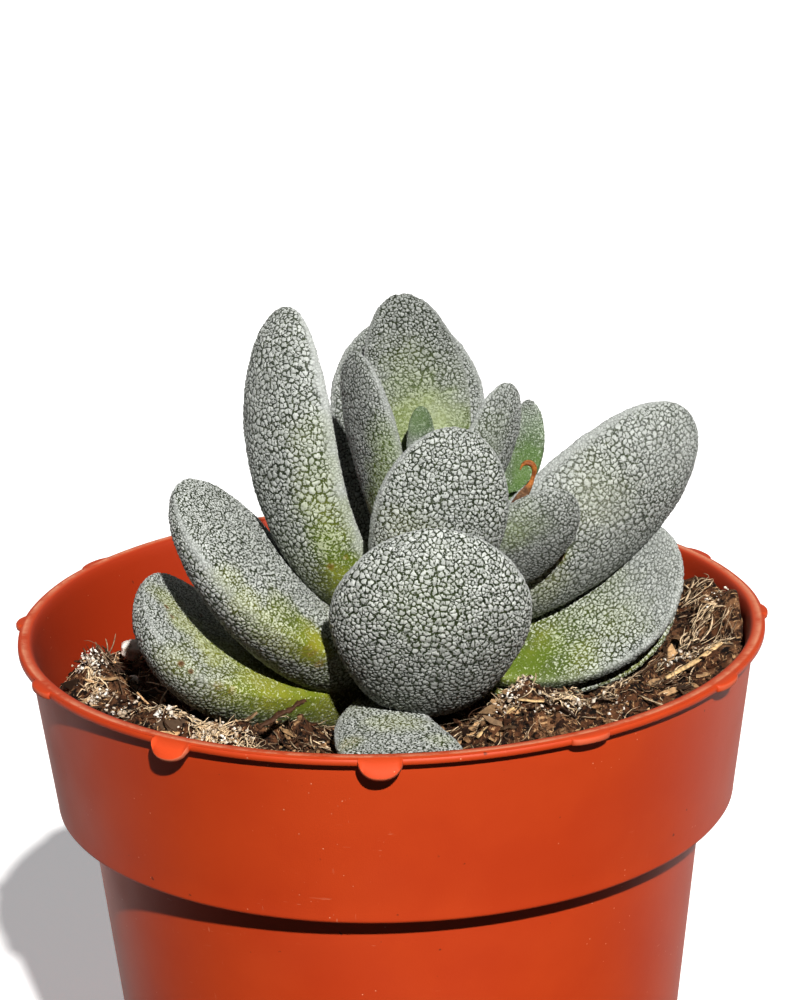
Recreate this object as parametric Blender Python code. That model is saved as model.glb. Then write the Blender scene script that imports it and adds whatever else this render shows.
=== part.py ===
# Potted crassula: a rosette of thick, silvery leaves on a short stem, in potting
# soil, in a small terracotta-coloured plastic nursery pot.
# Metres, +Z up.  Origin: centre of the pot's underside.  -Y is the front.
import bpy, bmesh, math
from mathutils import Vector

MM = 0.001

# ------------------------------------------------------------------ driving dimensions (mm)
GAP = 0.32                 # clearance kept wherever two pieces touch
POT_HEIGHT = 49.0          # underside to rim
RIM_RADIUS = 27.95         # outer edge of the lip
LIP_HEIGHT = 0.60
LIP_WIDTH = 1.08           # flat top of the lip
BAND_TOP_RADIUS = 27.15    # collar under the lip
BAND_FOOT_RADIUS = 25.63
BAND_HEIGHT = 13.2
BODY_TOP_RADIUS = 23.3     # tapered body under the collar
BODY_FOOT_RADIUS = 19.6
WALL = 0.75
FLOOR = 1.0
FOOT_CHAMFER = 0.7
DRAIN_RADIUS = 1.7         # four drain holes in the floor
DRAIN_CIRCLE = 13.0

# twelve moulded tabs round the lip, a little unevenly spaced: degrees from +X
TAB_ANGLES = (-0.5, 28.5, 58.5, 88.5, 118.0, 147.0, 176.0, 206.0, 237.0, 268.0, 298.5, 328.0)
TAB_HALF_ANGLE = 3.1
TAB_HALF_ANGLE_SIDE = 2.1
TAB_THICKNESS = 0.45
# tab number: (how far it sticks out, how far it droops in degrees)
TAB_PLAIN = (0.45, 0.0)
TAB_SPECIAL = {0: (0.35, 6.0), 6: (0.50, 6.0), 3: (1.00, 45.0), 9: (1.35, 48.0), 8: (1.35, 45.0)}

STEM_X, STEM_Y = 2.6, 0.0  # the stem stands a little right of the pot's axis
STEM_FOOT, STEM_TOP = -8.5, 6.2      # from the rim plane
STEM_FOOT_RADIUS, STEM_TOP_RADIUS = 1.75, 1.05

# height of the soil below the rim, all round the wall from +X, every 45 degrees
SOIL_WALL_LEVELS = (-2.4, -3.0, -5.2, -7.6, -6.4, -4.4, -4.9, -2.8)
SOIL_CENTRE_LEVEL = -5.6
SOIL_LUMPS = 0.35
SOIL_FOOT = 1.0 + GAP      # above the underside

# ------------------------------------------------------------------ leaves (mm from the rim's centre)
# root height on the stem, shoulder, elbow and tip of the midrib, direction the inner face looks,
# half width, thickness inside and outside the margin plane,
# fullness at the shoulder, widest point and start of the rounded end (0..1 along the leaf)
LEAVES = {
    "leaf_left_tall":       (1.6, (0.2, -0.9, 1.3), (-7.9, -4.6, 7.7), (-6.8, -0.6, 24.4), (0.70, 0.70, 0.15), 4.4, 0.9, 3.3, 0.41, 0.76, 0.64),
    "leaf_left_middle":     (-2.0, (-1.5, -0.8, -1.9), (-5.3, -6.4, -0.2), (-15.1, -4.9, 12.5), (0.18, -0.13, 0.97), 6.9, 1.5, 4.5, 0.22, 0.77, 0.58),
    "leaf_left_low":        (-4.4, (0.6, -1.3, -3.6), (-12.2, -3.7, -4.0), (-18.0, -4.0, 4.6), (0.32, -0.08, 0.94), 7.7, 1.0, 4.8, 0.22, 0.95, 0.62),
    "leaf_front_large":     (-1.3, (2.7, -1.6, -1.3), (2.3, -11.4, -2.9), (3.3, -14.3, 11.6), (-0.05, 0.93, 0.37), 7.9, 1.0, 4.3, 0.27, 0.97, 0.61),
    "leaf_front_upper":     (3.4, (2.7, -1.2, 2.9), (2.3, -7.2, 3.9), (5.2, -7.8, 17.0), (-0.15, 0.95, 0.30), 5.1, 0.9, 2.3, 0.42, 0.76, 0.65),
    "leaf_back_inner":      (5.0, (2.8, 1.2, 4.7), (3.5, 5.0, 11.8), (1.2, 5.5, 23.6), (0.05, -1.00, 0.10), 4.1, 0.7, 2.0, 0.40, 0.78, 0.56),
    "leaf_back_outer":      (2.2, (3.0, 1.5, 1.5), (1.9, 10.1, 8.5), (1.4, 10.9, 20.5), (-0.05, -0.95, 0.25), 6.0, 0.8, 2.4, 0.72, 0.77, 0.65),
    "leaf_back_low":        (-2.2, (2.9, 1.8, -2.4), (2.4, 10.5, -5.4), (3.2, 18.6, 1.6), (0.05, -0.55, 0.80), 5.0, 0.8, 2.2, 0.35, 0.75, 0.62),
    "leaf_inner_left":      (5.2, (1.3, -0.4, 5.0), (0.0, -1.1, 11.6), (-2.1, 0.2, 20.7), (0.85, 0.50, 0.10), 3.4, 0.6, 1.7, 0.42, 0.75, 0.63),
    "leaf_heart":           (6.5, (2.7, 0.0, 6.9), (2.5, 0.1, 11.9), (2.7, 0.4, 16.3), (0.10, -1.00, 0.00), 1.1, 0.4, 0.8, 0.60, 0.75, 0.62),
    "leaf_inner_right":     (4.9, (3.7, 0.3, 5.5), (7.0, 0.6, 10.3), (9.1, 0.9, 17.8), (-0.60, 0.70, 0.40), 2.8, 0.6, 1.3, 0.42, 0.75, 0.63),
    "leaf_offset_green":    (3.7, (4.2, 1.8, 3.8), (11.2, 3.9, 8.7), (10.8, 4.9, 15.3), (-0.60, -0.75, 0.20), 1.7, 0.5, 1.0, 0.42, 0.70, 0.60),
    "leaf_offset_front":    (2.2, (5.1, -1.0, 2.3), (8.3, -4.2, 5.5), (13.3, -5.0, 11.0), (-0.25, 0.95, 0.25), 3.4, 0.6, 1.6, 0.41, 0.62, 0.57),
    "leaf_right_large":     (0.4, (3.9, 0.2, 0.6), (15.5, 2.7, 5.7), (22.2, 3.4, 14.9), (-0.30, 0.90, 0.25), 5.7, 1.2, 3.3, 0.57, 0.57, 0.49),
    "leaf_right_low":       (-2.6, (4.4, -0.3, -2.4), (14.6, 2.8, -4.5), (21.1, 2.7, 5.2), (-0.40, -0.45, 0.80), 6.4, 0.8, 2.3, 0.38, 0.70, 0.65),
    "leaf_right_lowest":    (-4.6, (5.2, -0.3, -4.4), (14.4, 3.4, -6.4), (21.4, 3.5, 0.7), (-0.40, -0.40, 0.82), 4.7, 0.6, 1.4, 0.45, 0.70, 0.62),
    "leaf_front_low":       (-4.9, (1.4, -2.6, -5.0), (-3.6, -11.0, -3.8), (3.2, -23.3, -3.7), (0.00, -0.02, 1.00), 4.6, 0.9, 1.9, 0.30, 1.00, 0.62),
}
# dried-up leaf tip of the offset shoot
WITHERED_STALK = ((8.0, -2.3, 7.4), (9.0, -2.2, 8.7), (9.9, -2.1, 9.9), (10.6, -2.1, 10.9), (10.9, -2.1, 11.9))
WITHERED_CURL = 0.55
# loose bits lying on the soil: ends, radius
STRAWS = {
    "straw_long": ((19.9, -8.2, -2.5), (22.2, -6.9, -2.2), (24.2, -5.4, -2.1), 0.30),
    "straw_middle": ((9.0, -12.2, -3.9), (9.9, -12.0, -3.7), (11.0, -12.0, -3.6), 0.24),
    "straw_short": ((5.9, -14.2, -4.5), (7.2, -13.6, -4.3), (8.6, -13.2, -4.3), 0.26),
}
PERLITE = {"perlite_left": ((-20.2, 7.4, -4.6), (0.95, 0.80, 0.75))}

# leaf that gives way: leaves that press on it
PRESSED = {
    "leaf_left_low": ("leaf_left_middle", "leaf_front_large"),
    "leaf_left_tall": ("leaf_front_upper", "leaf_back_outer"),
    "leaf_left_middle": ("leaf_left_tall", "leaf_front_large"),
    "leaf_front_low": ("leaf_left_low", "leaf_front_large", "leaf_left_middle"),
    "leaf_offset_front": ("leaf_front_upper", "leaf_front_large"),
    "leaf_right_large": ("leaf_front_upper", "leaf_offset_front", "leaf_front_large"),
    "leaf_back_outer": ("leaf_right_large",),
    "leaf_offset_green": ("leaf_back_inner",),
    "leaf_right_low": ("leaf_right_large", "leaf_front_large"),
    "leaf_right_lowest": ("leaf_right_low",),
    "leaf_back_low": ("leaf_right_low",),
}
LEAF_SECTION_POWER = 2.2   # 2 is an ellipse, more is boxier
LEAF_END_POWER = 2.35
RINGS, SIDES = 12, 18

COLOURS = {
    "pot": ((0.58, 0.075, 0.018), 0.38),
    "soil": ((0.050, 0.028, 0.016), 0.95),
    "stem": ((0.16, 0.19, 0.06), 0.70),
    "leaf": ((0.40, 0.44, 0.38), 0.85),
    "leaf_green": ((0.24, 0.34, 0.12), 0.80),
    "withered": ((0.42, 0.20, 0.07), 0.75),
    "straw": ((0.56, 0.40, 0.20), 0.80),
    "perlite": ((0.80, 0.78, 0.74), 0.85),
}

for ob in list(bpy.data.objects):
    bpy.data.objects.remove(ob, do_unlink=True)

_mats = {}


def material(name):
    if name not in _mats:
        colour, rough = COLOURS[name]
        m = bpy.data.materials.new(name)
        m.use_nodes = True
        b = m.node_tree.nodes["Principled BSDF"]
        b.inputs["Base Color"].default_value = (*colour, 1.0)
        b.inputs["Roughness"].default_value = rough
        b.inputs["Metallic"].default_value = 0.0
        _mats[name] = m
    return _mats[name]


def make_object(name, bm, mat, smooth=True):
    """One closed body in millimetres -> an object in metres, faces out."""
    bmesh.ops.recalc_face_normals(bm, faces=bm.faces)
    if bm.calc_volume(signed=True) < 0:
        bmesh.ops.reverse_faces(bm, faces=bm.faces)
    for v in bm.verts:
        v.co *= MM
    me = bpy.data.meshes.new(name)
    bm.to_mesh(me)
    bm.free()
    ob = bpy.data.objects.new(name, me)
    bpy.context.scene.collection.objects.link(ob)
    me.materials.append(material(mat))
    if smooth:
        me.shade_smooth()
        me.set_sharp_from_angle(angle=math.radians(38))
    return ob


def guide(ob):
    ob.hide_render = True
    ob.display_type = 'WIRE'
    return ob


def cut(ob, cutter):
    m = ob.modifiers.new("clear_" + cutter.name[:40], 'BOOLEAN')
    m.operation = 'DIFFERENCE'
    m.solver = 'EXACT'
    m.object = cutter


def carve(ob, cutters):
    """Cuts a piece back from each neighbour in turn and drops the loose crumbs this leaves."""
    for c in cutters:
        cut(ob, c)
        graph = bpy.context.evaluated_depsgraph_get()
        me = bpy.data.meshes.new_from_object(ob.evaluated_get(graph))
        ob.modifiers.clear()
        bm = bmesh.new()
        bm.from_mesh(me)
        bmesh.ops.remove_doubles(bm, verts=bm.verts, dist=2e-6)
        bmesh.ops.dissolve_degenerate(bm, edges=bm.edges, dist=2e-6)
        islands, seen = [], set()
        for f in bm.faces:
            if f in seen:
                continue
            stack, island = [f], []
            seen.add(f)
            while stack:
                q = stack.pop()
                island.append(q)
                for e in q.edges:
                    if len(e.link_faces) == 2:
                        for w in e.link_faces:
                            if w not in seen:
                                seen.add(w)
                                stack.append(w)
            islands.append(island)
        islands.sort(key=len)
        for island in islands[:-1]:
            bmesh.ops.delete(bm, geom=island, context='FACES')
        bmesh.ops.delete(bm, geom=[v for v in bm.verts if not v.link_faces], context='VERTS')
        bmesh.ops.triangulate(bm, faces=[f for f in bm.faces if len(f.verts) > 4])
        bm.to_mesh(me)
        bm.free()
        me.name = ob.name
        ob.data = me
        me.shade_smooth()
        me.set_sharp_from_angle(angle=math.radians(38))


def bridge_rings(bm, rings, close=True):
    for a, b in zip(rings[:-1], rings[1:]):
        n = len(a)
        for i in range(n):
            j = (i + 1) % n
            bm.faces.new((a[i], a[j], b[j], b[i]))


def fan(bm, ring, point, flip=False):
    c = bm.verts.new(point)
    n = len(ring)
    for i in range(n):
        j = (i + 1) % n
        bm.faces.new((c, ring[j], ring[i]) if flip else (c, ring[i], ring[j]))
    return c


# ------------------------------------------------------------------ pot
def tab_shape(number):
    return TAB_SPECIAL.get(number % 12, TAB_PLAIN)


def pot_columns():
    """Angles round the pot, closer together across each tab: (angle, tab reach, tab droop)."""
    cols = []
    for k in range(12):
        mid = TAB_ANGLES[k]
        half = TAB_HALF_ANGLE_SIDE if k in (0, 6) else TAB_HALF_ANGLE
        gap = (TAB_ANGLES[(k + 1) % 12] - mid) % 360
        reach, droop = tab_shape(k)
        for f in (-1.0, -0.84, -0.45, 0.0, 0.45, 0.84, 1.0):
            e = math.sqrt(max(0.0, 1 - f * f))
            cols.append((mid + f * half, reach * e, droop * e))
        for a in (0.3, 0.5, 0.7):
            cols.append((mid + a * gap, 0.0, 0.0))
    return cols


def build_pot():
    h = POT_HEIGHT
    band_foot = h - BAND_HEIGHT
    inner_foot = BODY_FOOT_RADIUS - WALL
    plain = [
        (9.0, 0.0), (BODY_FOOT_RADIUS - FOOT_CHAMFER, 0.0), (BODY_FOOT_RADIUS, FOOT_CHAMFER),
        (BODY_TOP_RADIUS, band_foot - 0.15), (BODY_TOP_RADIUS + 0.35, band_foot),
        (BAND_FOOT_RADIUS - 0.25, band_foot), (BAND_FOOT_RADIUS, band_foot + 0.3),
        (BAND_TOP_RADIUS, h - LIP_HEIGHT),
    ]
    inside = [
        (RIM_RADIUS - LIP_WIDTH, h), (RIM_RADIUS - LIP_WIDTH - 0.25, h - 0.3),
        (BAND_FOOT_RADIUS - WALL, band_foot + 0.9), (BODY_TOP_RADIUS - WALL, band_foot - 0.6),
        (inner_foot, FLOOR), (9.0, FLOOR),
    ]
    bm = bmesh.new()
    cols = pot_columns()
    prof = []
    for ang, e, d in cols:
        a, dr = math.radians(ang), math.radians(d)
        c, s = math.cos(dr), math.sin(dr)
        top = (RIM_RADIUS - 0.05 + e * c, h - 0.10 - e * s)
        low = (top[0] - TAB_THICKNESS * s, top[1] - TAB_THICKNESS * c)
        line = plain + [low, top, (RIM_RADIUS - 0.15, h)] + inside
        prof.append([bm.verts.new((r * math.cos(a), r * math.sin(a), z)) for r, z in line])
    rings = [list(r) for r in zip(*prof)]
    bridge_rings(bm, rings)
    fan(bm, rings[0], (0, 0, 0), flip=True)
    fan(bm, rings[-1], (0, 0, FLOOR))
    ob = make_object("pot", bm, "pot")
    for k in range(4):
        a = math.radians(45 + 90 * k)
        bpy.ops.mesh.primitive_cylinder_add(
            vertices=16, radius=DRAIN_RADIUS * MM, depth=6 * MM,
            location=(DRAIN_CIRCLE * math.cos(a) * MM, DRAIN_CIRCLE * math.sin(a) * MM, 0.5 * MM))
        hole = guide(bpy.context.object)
        hole.name = "drain_%d" % (k + 1)
        cut(ob, hole)
    return ob


# ------------------------------------------------------------------ leaves
def rise(t, full, widest):
    return full + (1 - full) * math.sin(min(max(t / widest, 0), 1) * math.pi / 2)


def round_end(t, start, power=LEAF_END_POWER):
    u = min(max((t - start) / (1 - start), 0), 1)
    return math.sqrt(max(1 - u ** power, 0))


def leaf_rings(spec, grow=0.0, rings=RINGS, sides=SIDES):
    """Rings of points round the midrib, root to tip, in mm above the underside."""
    root_z, b, c, t_, face, half, t_in, t_out, full, widest, end = spec
    lift = Vector((0, 0, POT_HEIGHT))
    B, C, T = (Vector(v) + lift for v in (b, c, t_))
    face = Vector(face).normalized()
    # a grown copy also reaches a little further at its tip
    T = T + (T - C).normalized() * grow
    out = []

    def section(P, D, w, a_in, a_out):
        N = (face - D * D.dot(face)).normalized()
        S = D.cross(N)
        pts = []
        for k in range(sides):
            ph = 2 * math.pi * k / sides
            c0, s0 = math.cos(ph), math.sin(ph)
            x = math.copysign(abs(c0) ** (2 / LEAF_SECTION_POWER), c0)
            y = math.copysign(abs(s0) ** (2 / LEAF_SECTION_POWER), s0)
            pts.append(P + S * (x * w) + N * (y * (a_in if y > 0 else a_out)))
        return pts

    D0 = (C - B).normalized()
    root = Vector((STEM_X, STEM_Y, POT_HEIGHT + root_z))
    if (B - root).length > 0.8:
        w0 = half * full * 0.62 + grow
        out.append(section(root, D0, w0, t_in * 0.45 + grow, t_out * 0.40 + grow))
    for i in range(rings):
        t = math.sin(i / rings * math.pi / 2)
        P = B * (1 - t) ** 2 + C * (2 * t * (1 - t)) + T * (t * t)
        D = ((C - B) * (2 * (1 - t)) + (T - C) * (2 * t)).normalized()
        w = half * rise(t, full, widest) * round_end(t, end) + grow
        a = rise(t, 0.55, 0.35) * round_end(t, 0.35, 2.2)
        out.append(section(P, D, w, t_in * a + grow, t_out * a + grow))
    return out, T


def build_leaf(name, spec, grow=0.0, mat="leaf"):
    pts, tip = leaf_rings(spec, grow)
    bm = bmesh.new()
    rings = [[bm.verts.new(p) for p in ring] for ring in pts]
    bridge_rings(bm, rings)
    first = sum(pts[0], Vector()) / len(pts[0])
    fan(bm, rings[0], first, flip=True)
    fan(bm, rings[-1], tip)
    return make_object(name, bm, mat)


# ------------------------------------------------------------------ stem
def build_stem(name, grow=0.0):
    steps = 9
    z0, z1 = STEM_FOOT - (0.5 if grow else 0), STEM_TOP + grow
    bm = bmesh.new()
    rings = []
    for i in range(steps):
        f = i / (steps - 1)
        z = z0 + (z1 - z0) * f
        r = STEM_FOOT_RADIUS + (STEM_TOP_RADIUS - STEM_FOOT_RADIUS) * f + grow
        r *= 1 + 0.03 * math.sin(f * 14.0)          # faint rings where leaves sit
        rings.append([bm.verts.new((STEM_X + r * math.cos(a), STEM_Y + r * math.sin(a), POT_HEIGHT + z))
                      for a in (2 * math.pi * k / 16 for k in range(16))])
    bridge_rings(bm, rings)
    fan(bm, rings[0], (STEM_X, STEM_Y, POT_HEIGHT + z0), flip=True)
    fan(bm, rings[-1], (STEM_X, STEM_Y, POT_HEIGHT + z1 + 0.25))
    return make_object(name, bm, "stem")


# ------------------------------------------------------------------ soil
def inner_radius(z):
    """Inside of the pot's wall at a height above the underside."""
    band_foot = POT_HEIGHT - BAND_HEIGHT
    pts = [(FLOOR, BODY_FOOT_RADIUS - WALL), (band_foot - 0.6, BODY_TOP_RADIUS - WALL),
           (band_foot + 0.9, BAND_FOOT_RADIUS - WALL), (POT_HEIGHT - 0.3, RIM_RADIUS - LIP_WIDTH - 0.25)]
    for (za, ra), (zb, rb) in zip(pts[:-1], pts[1:]):
        if z <= zb:
            return ra + (rb - ra) * max(0, (z - za)) / (zb - za)
    return pts[-1][1]


def soil_level(x, y):
    r = math.hypot(x, y) / 26.0
    a = (math.degrees(math.atan2(y, x)) % 360) / 45.0
    i, f = int(a) % 8, a - int(a)
    f = 0.5 - 0.5 * math.cos(math.pi * f)
    wall = SOIL_WALL_LEVELS[i] * (1 - f) + SOIL_WALL_LEVELS[(i + 1) % 8] * f
    k = min(r, 1) ** 1.6
    level = SOIL_CENTRE_LEVEL * (1 - k) + wall * k
    lumps = (math.sin(0.83 * x + 0.4) * math.cos(0.71 * y - 0.9) + 0.6 * math.sin(1.7 * x - 1.3 * y + 2.0)
             + 0.4 * math.cos(2.3 * y + 0.9 * x))
    return level + SOIL_LUMPS * lumps


def build_soil(under):
    """A plug of soil filling the pot; its top sinks wherever a leaf lies low over it."""
    rings_n, cols = 13, 40
    bm = bmesh.new()
    top = []
    for i in range(1, rings_n + 1):
        ring = []
        for k in range(cols):
            a = 2 * math.pi * k / cols
            f = i / rings_n
            z_wall = POT_HEIGHT + soil_level(25.5 * math.cos(a), 25.5 * math.sin(a))
            r = f * (inner_radius(z_wall) - GAP - 0.05)
            x, y = r * math.cos(a), r * math.sin(a)
            ring.append((x, y, lowered(x, y, POT_HEIGHT + soil_level(x, y), under)))
        top.append(ring)
    # the outermost ring stays where the wall's slope wants it
    fixed = []
    for x, y, z in top[-1]:
        r = inner_radius(z) - GAP - 0.05
        s = r / math.hypot(x, y)
        fixed.append((x * s, y * s, z))
    top[-1] = fixed
    rings = [[bm.verts.new(p) for p in ring] for ring in top]
    band_foot = POT_HEIGHT - BAND_HEIGHT
    for z in (band_foot + 0.9 + GAP, band_foot - 0.6, SOIL_FOOT):
        r = inner_radius(z) - GAP - 0.12
        rings.append([bm.verts.new((r * math.cos(2 * math.pi * k / cols), r * math.sin(2 * math.pi * k / cols), z))
                      for k in range(cols)])
    bridge_rings(bm, rings)
    fan(bm, rings[0], (0, 0, lowered(0, 0, POT_HEIGHT + soil_level(0, 0), under)), flip=True)
    fan(bm, rings[-1], (0, 0, SOIL_FOOT))
    return make_object("soil", bm, "soil")


def lowered(x, y, z, under):
    for px, py, pz in under:
        d = math.hypot(px - x, py - y)
        if d < 2.6:
            z = min(z, pz - 0.75 + 0.25 * max(0.0, d - 1.4))
    return z


# ------------------------------------------------------------------ small pieces
def build_rod(name, points, radii, mat, sides=8, flat=1.0):
    """A tapering rod through points (mm from the rim's centre)."""
    P = [Vector(p) + Vector((0, 0, POT_HEIGHT)) for p in points]
    bm = bmesh.new()
    rings = []
    for i, p in enumerate(P):
        d = (P[min(i + 1, len(P) - 1)] - P[max(i - 1, 0)]).normalized()
        u = d.cross(Vector((0.1, 0.2, 1.0))).normalized()
        v = d.cross(u)
        rings.append([bm.verts.new(p + u * (radii[i] * math.cos(a)) + v * (radii[i] * flat * math.sin(a)))
                      for a in (2 * math.pi * k / sides for k in range(sides))])
    bridge_rings(bm, rings)
    fan(bm, rings[0], P[0], flip=True)
    fan(bm, rings[-1], P[-1])
    return make_object(name, bm, mat)


def hook(stalk, curl_radius, steps):
    """Centre line of the dried tip: a thin stalk that curls over to the left at its end."""
    pts = [Vector(p) for p in stalk]
    e = pts[-1]
    for i in range(1, steps + 1):
        a = math.pi * 0.98 * i / steps
        pts.append(e + Vector((-curl_radius * (1 - math.cos(a)), 0, curl_radius * 1.15 * math.sin(a))))
    return pts


def build_pebble(name, centre, size, mat):
    bpy.ops.mesh.primitive_ico_sphere_add(subdivisions=2, radius=1.0)
    tmp = bpy.context.object
    bm = bmesh.new()
    bm.from_mesh(tmp.data)
    bpy.data.objects.remove(tmp, do_unlink=True)
    for v in bm.verts:
        p = v.co
        k = 1 + 0.14 * math.sin(3.1 * p.x + 1) * math.cos(2.7 * p.y) + 0.08 * math.sin(5 * p.z + 2 * p.x)
        v.co = Vector((centre[0] + size[0] * p.x * k, centre[1] + size[1] * p.y * k,
                       POT_HEIGHT + centre[2] + size[2] * p.z * k))
    return make_object(name, bm, mat)


# ------------------------------------------------------------------ assembly
build_pot()
stem = build_stem("stem")
stem_clearance = guide(build_stem("stem_clearance", GAP))
GREEN = ("leaf_left_low", "leaf_heart", "leaf_offset_green", "leaf_right_lowest")
leaves = {n: build_leaf(n, s, 0.0, "leaf_green" if n in GREEN else "leaf") for n, s in LEAVES.items()}
presses = {}
for n, ob in leaves.items():
    cutters = [stem_clearance]
    for high in PRESSED.get(n, ()):
        if high not in presses:
            presses[high] = guide(build_leaf("press_" + high, LEAVES[high], GAP))
        cutters.append(presses[high])
    carve(ob, cutters)

under = []
for n, spec in LEAVES.items():
    for ring in leaf_rings(spec)[0]:
        for p in ring:
            if p.z < POT_HEIGHT + 1.0:
                under.append((p.x, p.y, p.z))
for n, (*line, r) in STRAWS.items():
    build_rod(n, line, [r * 0.8, r, r * 0.7], "straw", 6, 0.7)
    for a, b in zip(line[:-1], line[1:]):
        for i in range(5):
            q = Vector(a).lerp(Vector(b), i / 4)
            under.append((q.x, q.y, POT_HEIGHT + q.z - r))
for n, (c, size) in PERLITE.items():
    build_pebble(n, c, size, "perlite")
    under.append((c[0], c[1], POT_HEIGHT + c[2] - size[2]))
soil = build_soil(under)
bpy.ops.mesh.primitive_cylinder_add(vertices=16, radius=(STEM_FOOT_RADIUS + GAP + 0.1) * MM, depth=12 * MM,
                                    location=(STEM_X * MM, STEM_Y * MM, (POT_HEIGHT + STEM_FOOT - GAP + 6.0) * MM))
socket = guide(bpy.context.object)
socket.name = "stem_socket"
carve(soil, [socket])

curl = hook(WITHERED_STALK, WITHERED_CURL, 6)
build_rod("withered_tip", curl, [0.46 - 0.028 * i for i in range(len(curl))], "withered")
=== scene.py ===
import math
import random

import bmesh
import bpy
import numpy as np
from mathutils import Matrix, Vector, kdtree, noise


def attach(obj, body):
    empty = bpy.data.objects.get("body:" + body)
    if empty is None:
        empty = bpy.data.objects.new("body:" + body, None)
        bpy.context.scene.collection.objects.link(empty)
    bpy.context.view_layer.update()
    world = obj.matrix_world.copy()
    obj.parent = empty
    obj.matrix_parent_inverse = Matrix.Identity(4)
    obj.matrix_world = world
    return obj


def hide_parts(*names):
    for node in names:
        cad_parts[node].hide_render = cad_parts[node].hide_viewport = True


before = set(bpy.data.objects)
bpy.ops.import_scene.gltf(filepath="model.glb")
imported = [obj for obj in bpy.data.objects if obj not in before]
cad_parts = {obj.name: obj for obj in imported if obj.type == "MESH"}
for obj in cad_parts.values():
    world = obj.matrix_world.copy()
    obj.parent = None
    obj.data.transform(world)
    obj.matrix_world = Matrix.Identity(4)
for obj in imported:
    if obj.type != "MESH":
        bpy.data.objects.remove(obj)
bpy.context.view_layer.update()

MM = 0.001

# ---------------------------------------------------------------- driving sizes (mm, as in the CAD)
POT_HEIGHT = 49.0
RIM_RADIUS = 27.95
LIP_HEIGHT = 0.60
LIP_WIDTH = 1.08
BAND_TOP_RADIUS = 27.15
BAND_FOOT_RADIUS = 25.63
BAND_HEIGHT = 13.2
BODY_TOP_RADIUS = 23.3
BODY_FOOT_RADIUS = 19.6
WALL = 0.75
FLOOR = 1.0
FOOT_CHAMFER = 0.7
DRAIN_RADIUS = 1.7
DRAIN_CIRCLE = 13.0
TAB_ANGLES = (-0.5, 28.5, 58.5, 88.5, 118.0, 147.0, 176.0, 206.0, 237.0, 268.0, 298.5, 328.0)
TAB_HALF_ANGLE = 3.1
TAB_HALF_ANGLE_SIDE = 2.1
TAB_THICKNESS = 0.45
TAB_PLAIN = (0.45, 0.0)
TAB_SPECIAL = {0: (0.35, 6), 6: (0.50, 6), 3: (1.00, 45), 9: (1.35, 48), 8: (1.35, 45)}
STEM_X, STEM_Y = 2.6, 0.0
STEM_FOOT, STEM_TOP = -8.5, 6.2
STEM_FOOT_RADIUS, STEM_TOP_RADIUS = 1.75, 1.05
SOIL_WALL_LEVELS = (-2.4, -3.0, -5.2, -7.6, -6.4, -4.4, -4.9, -2.8)
SOIL_CENTRE_LEVEL = -5.6
SOIL_LUMPS = 0.35
SOIL_FOOT = 1.32
SECTION_POWER = 2.2
END_POWER = 2.35

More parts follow.
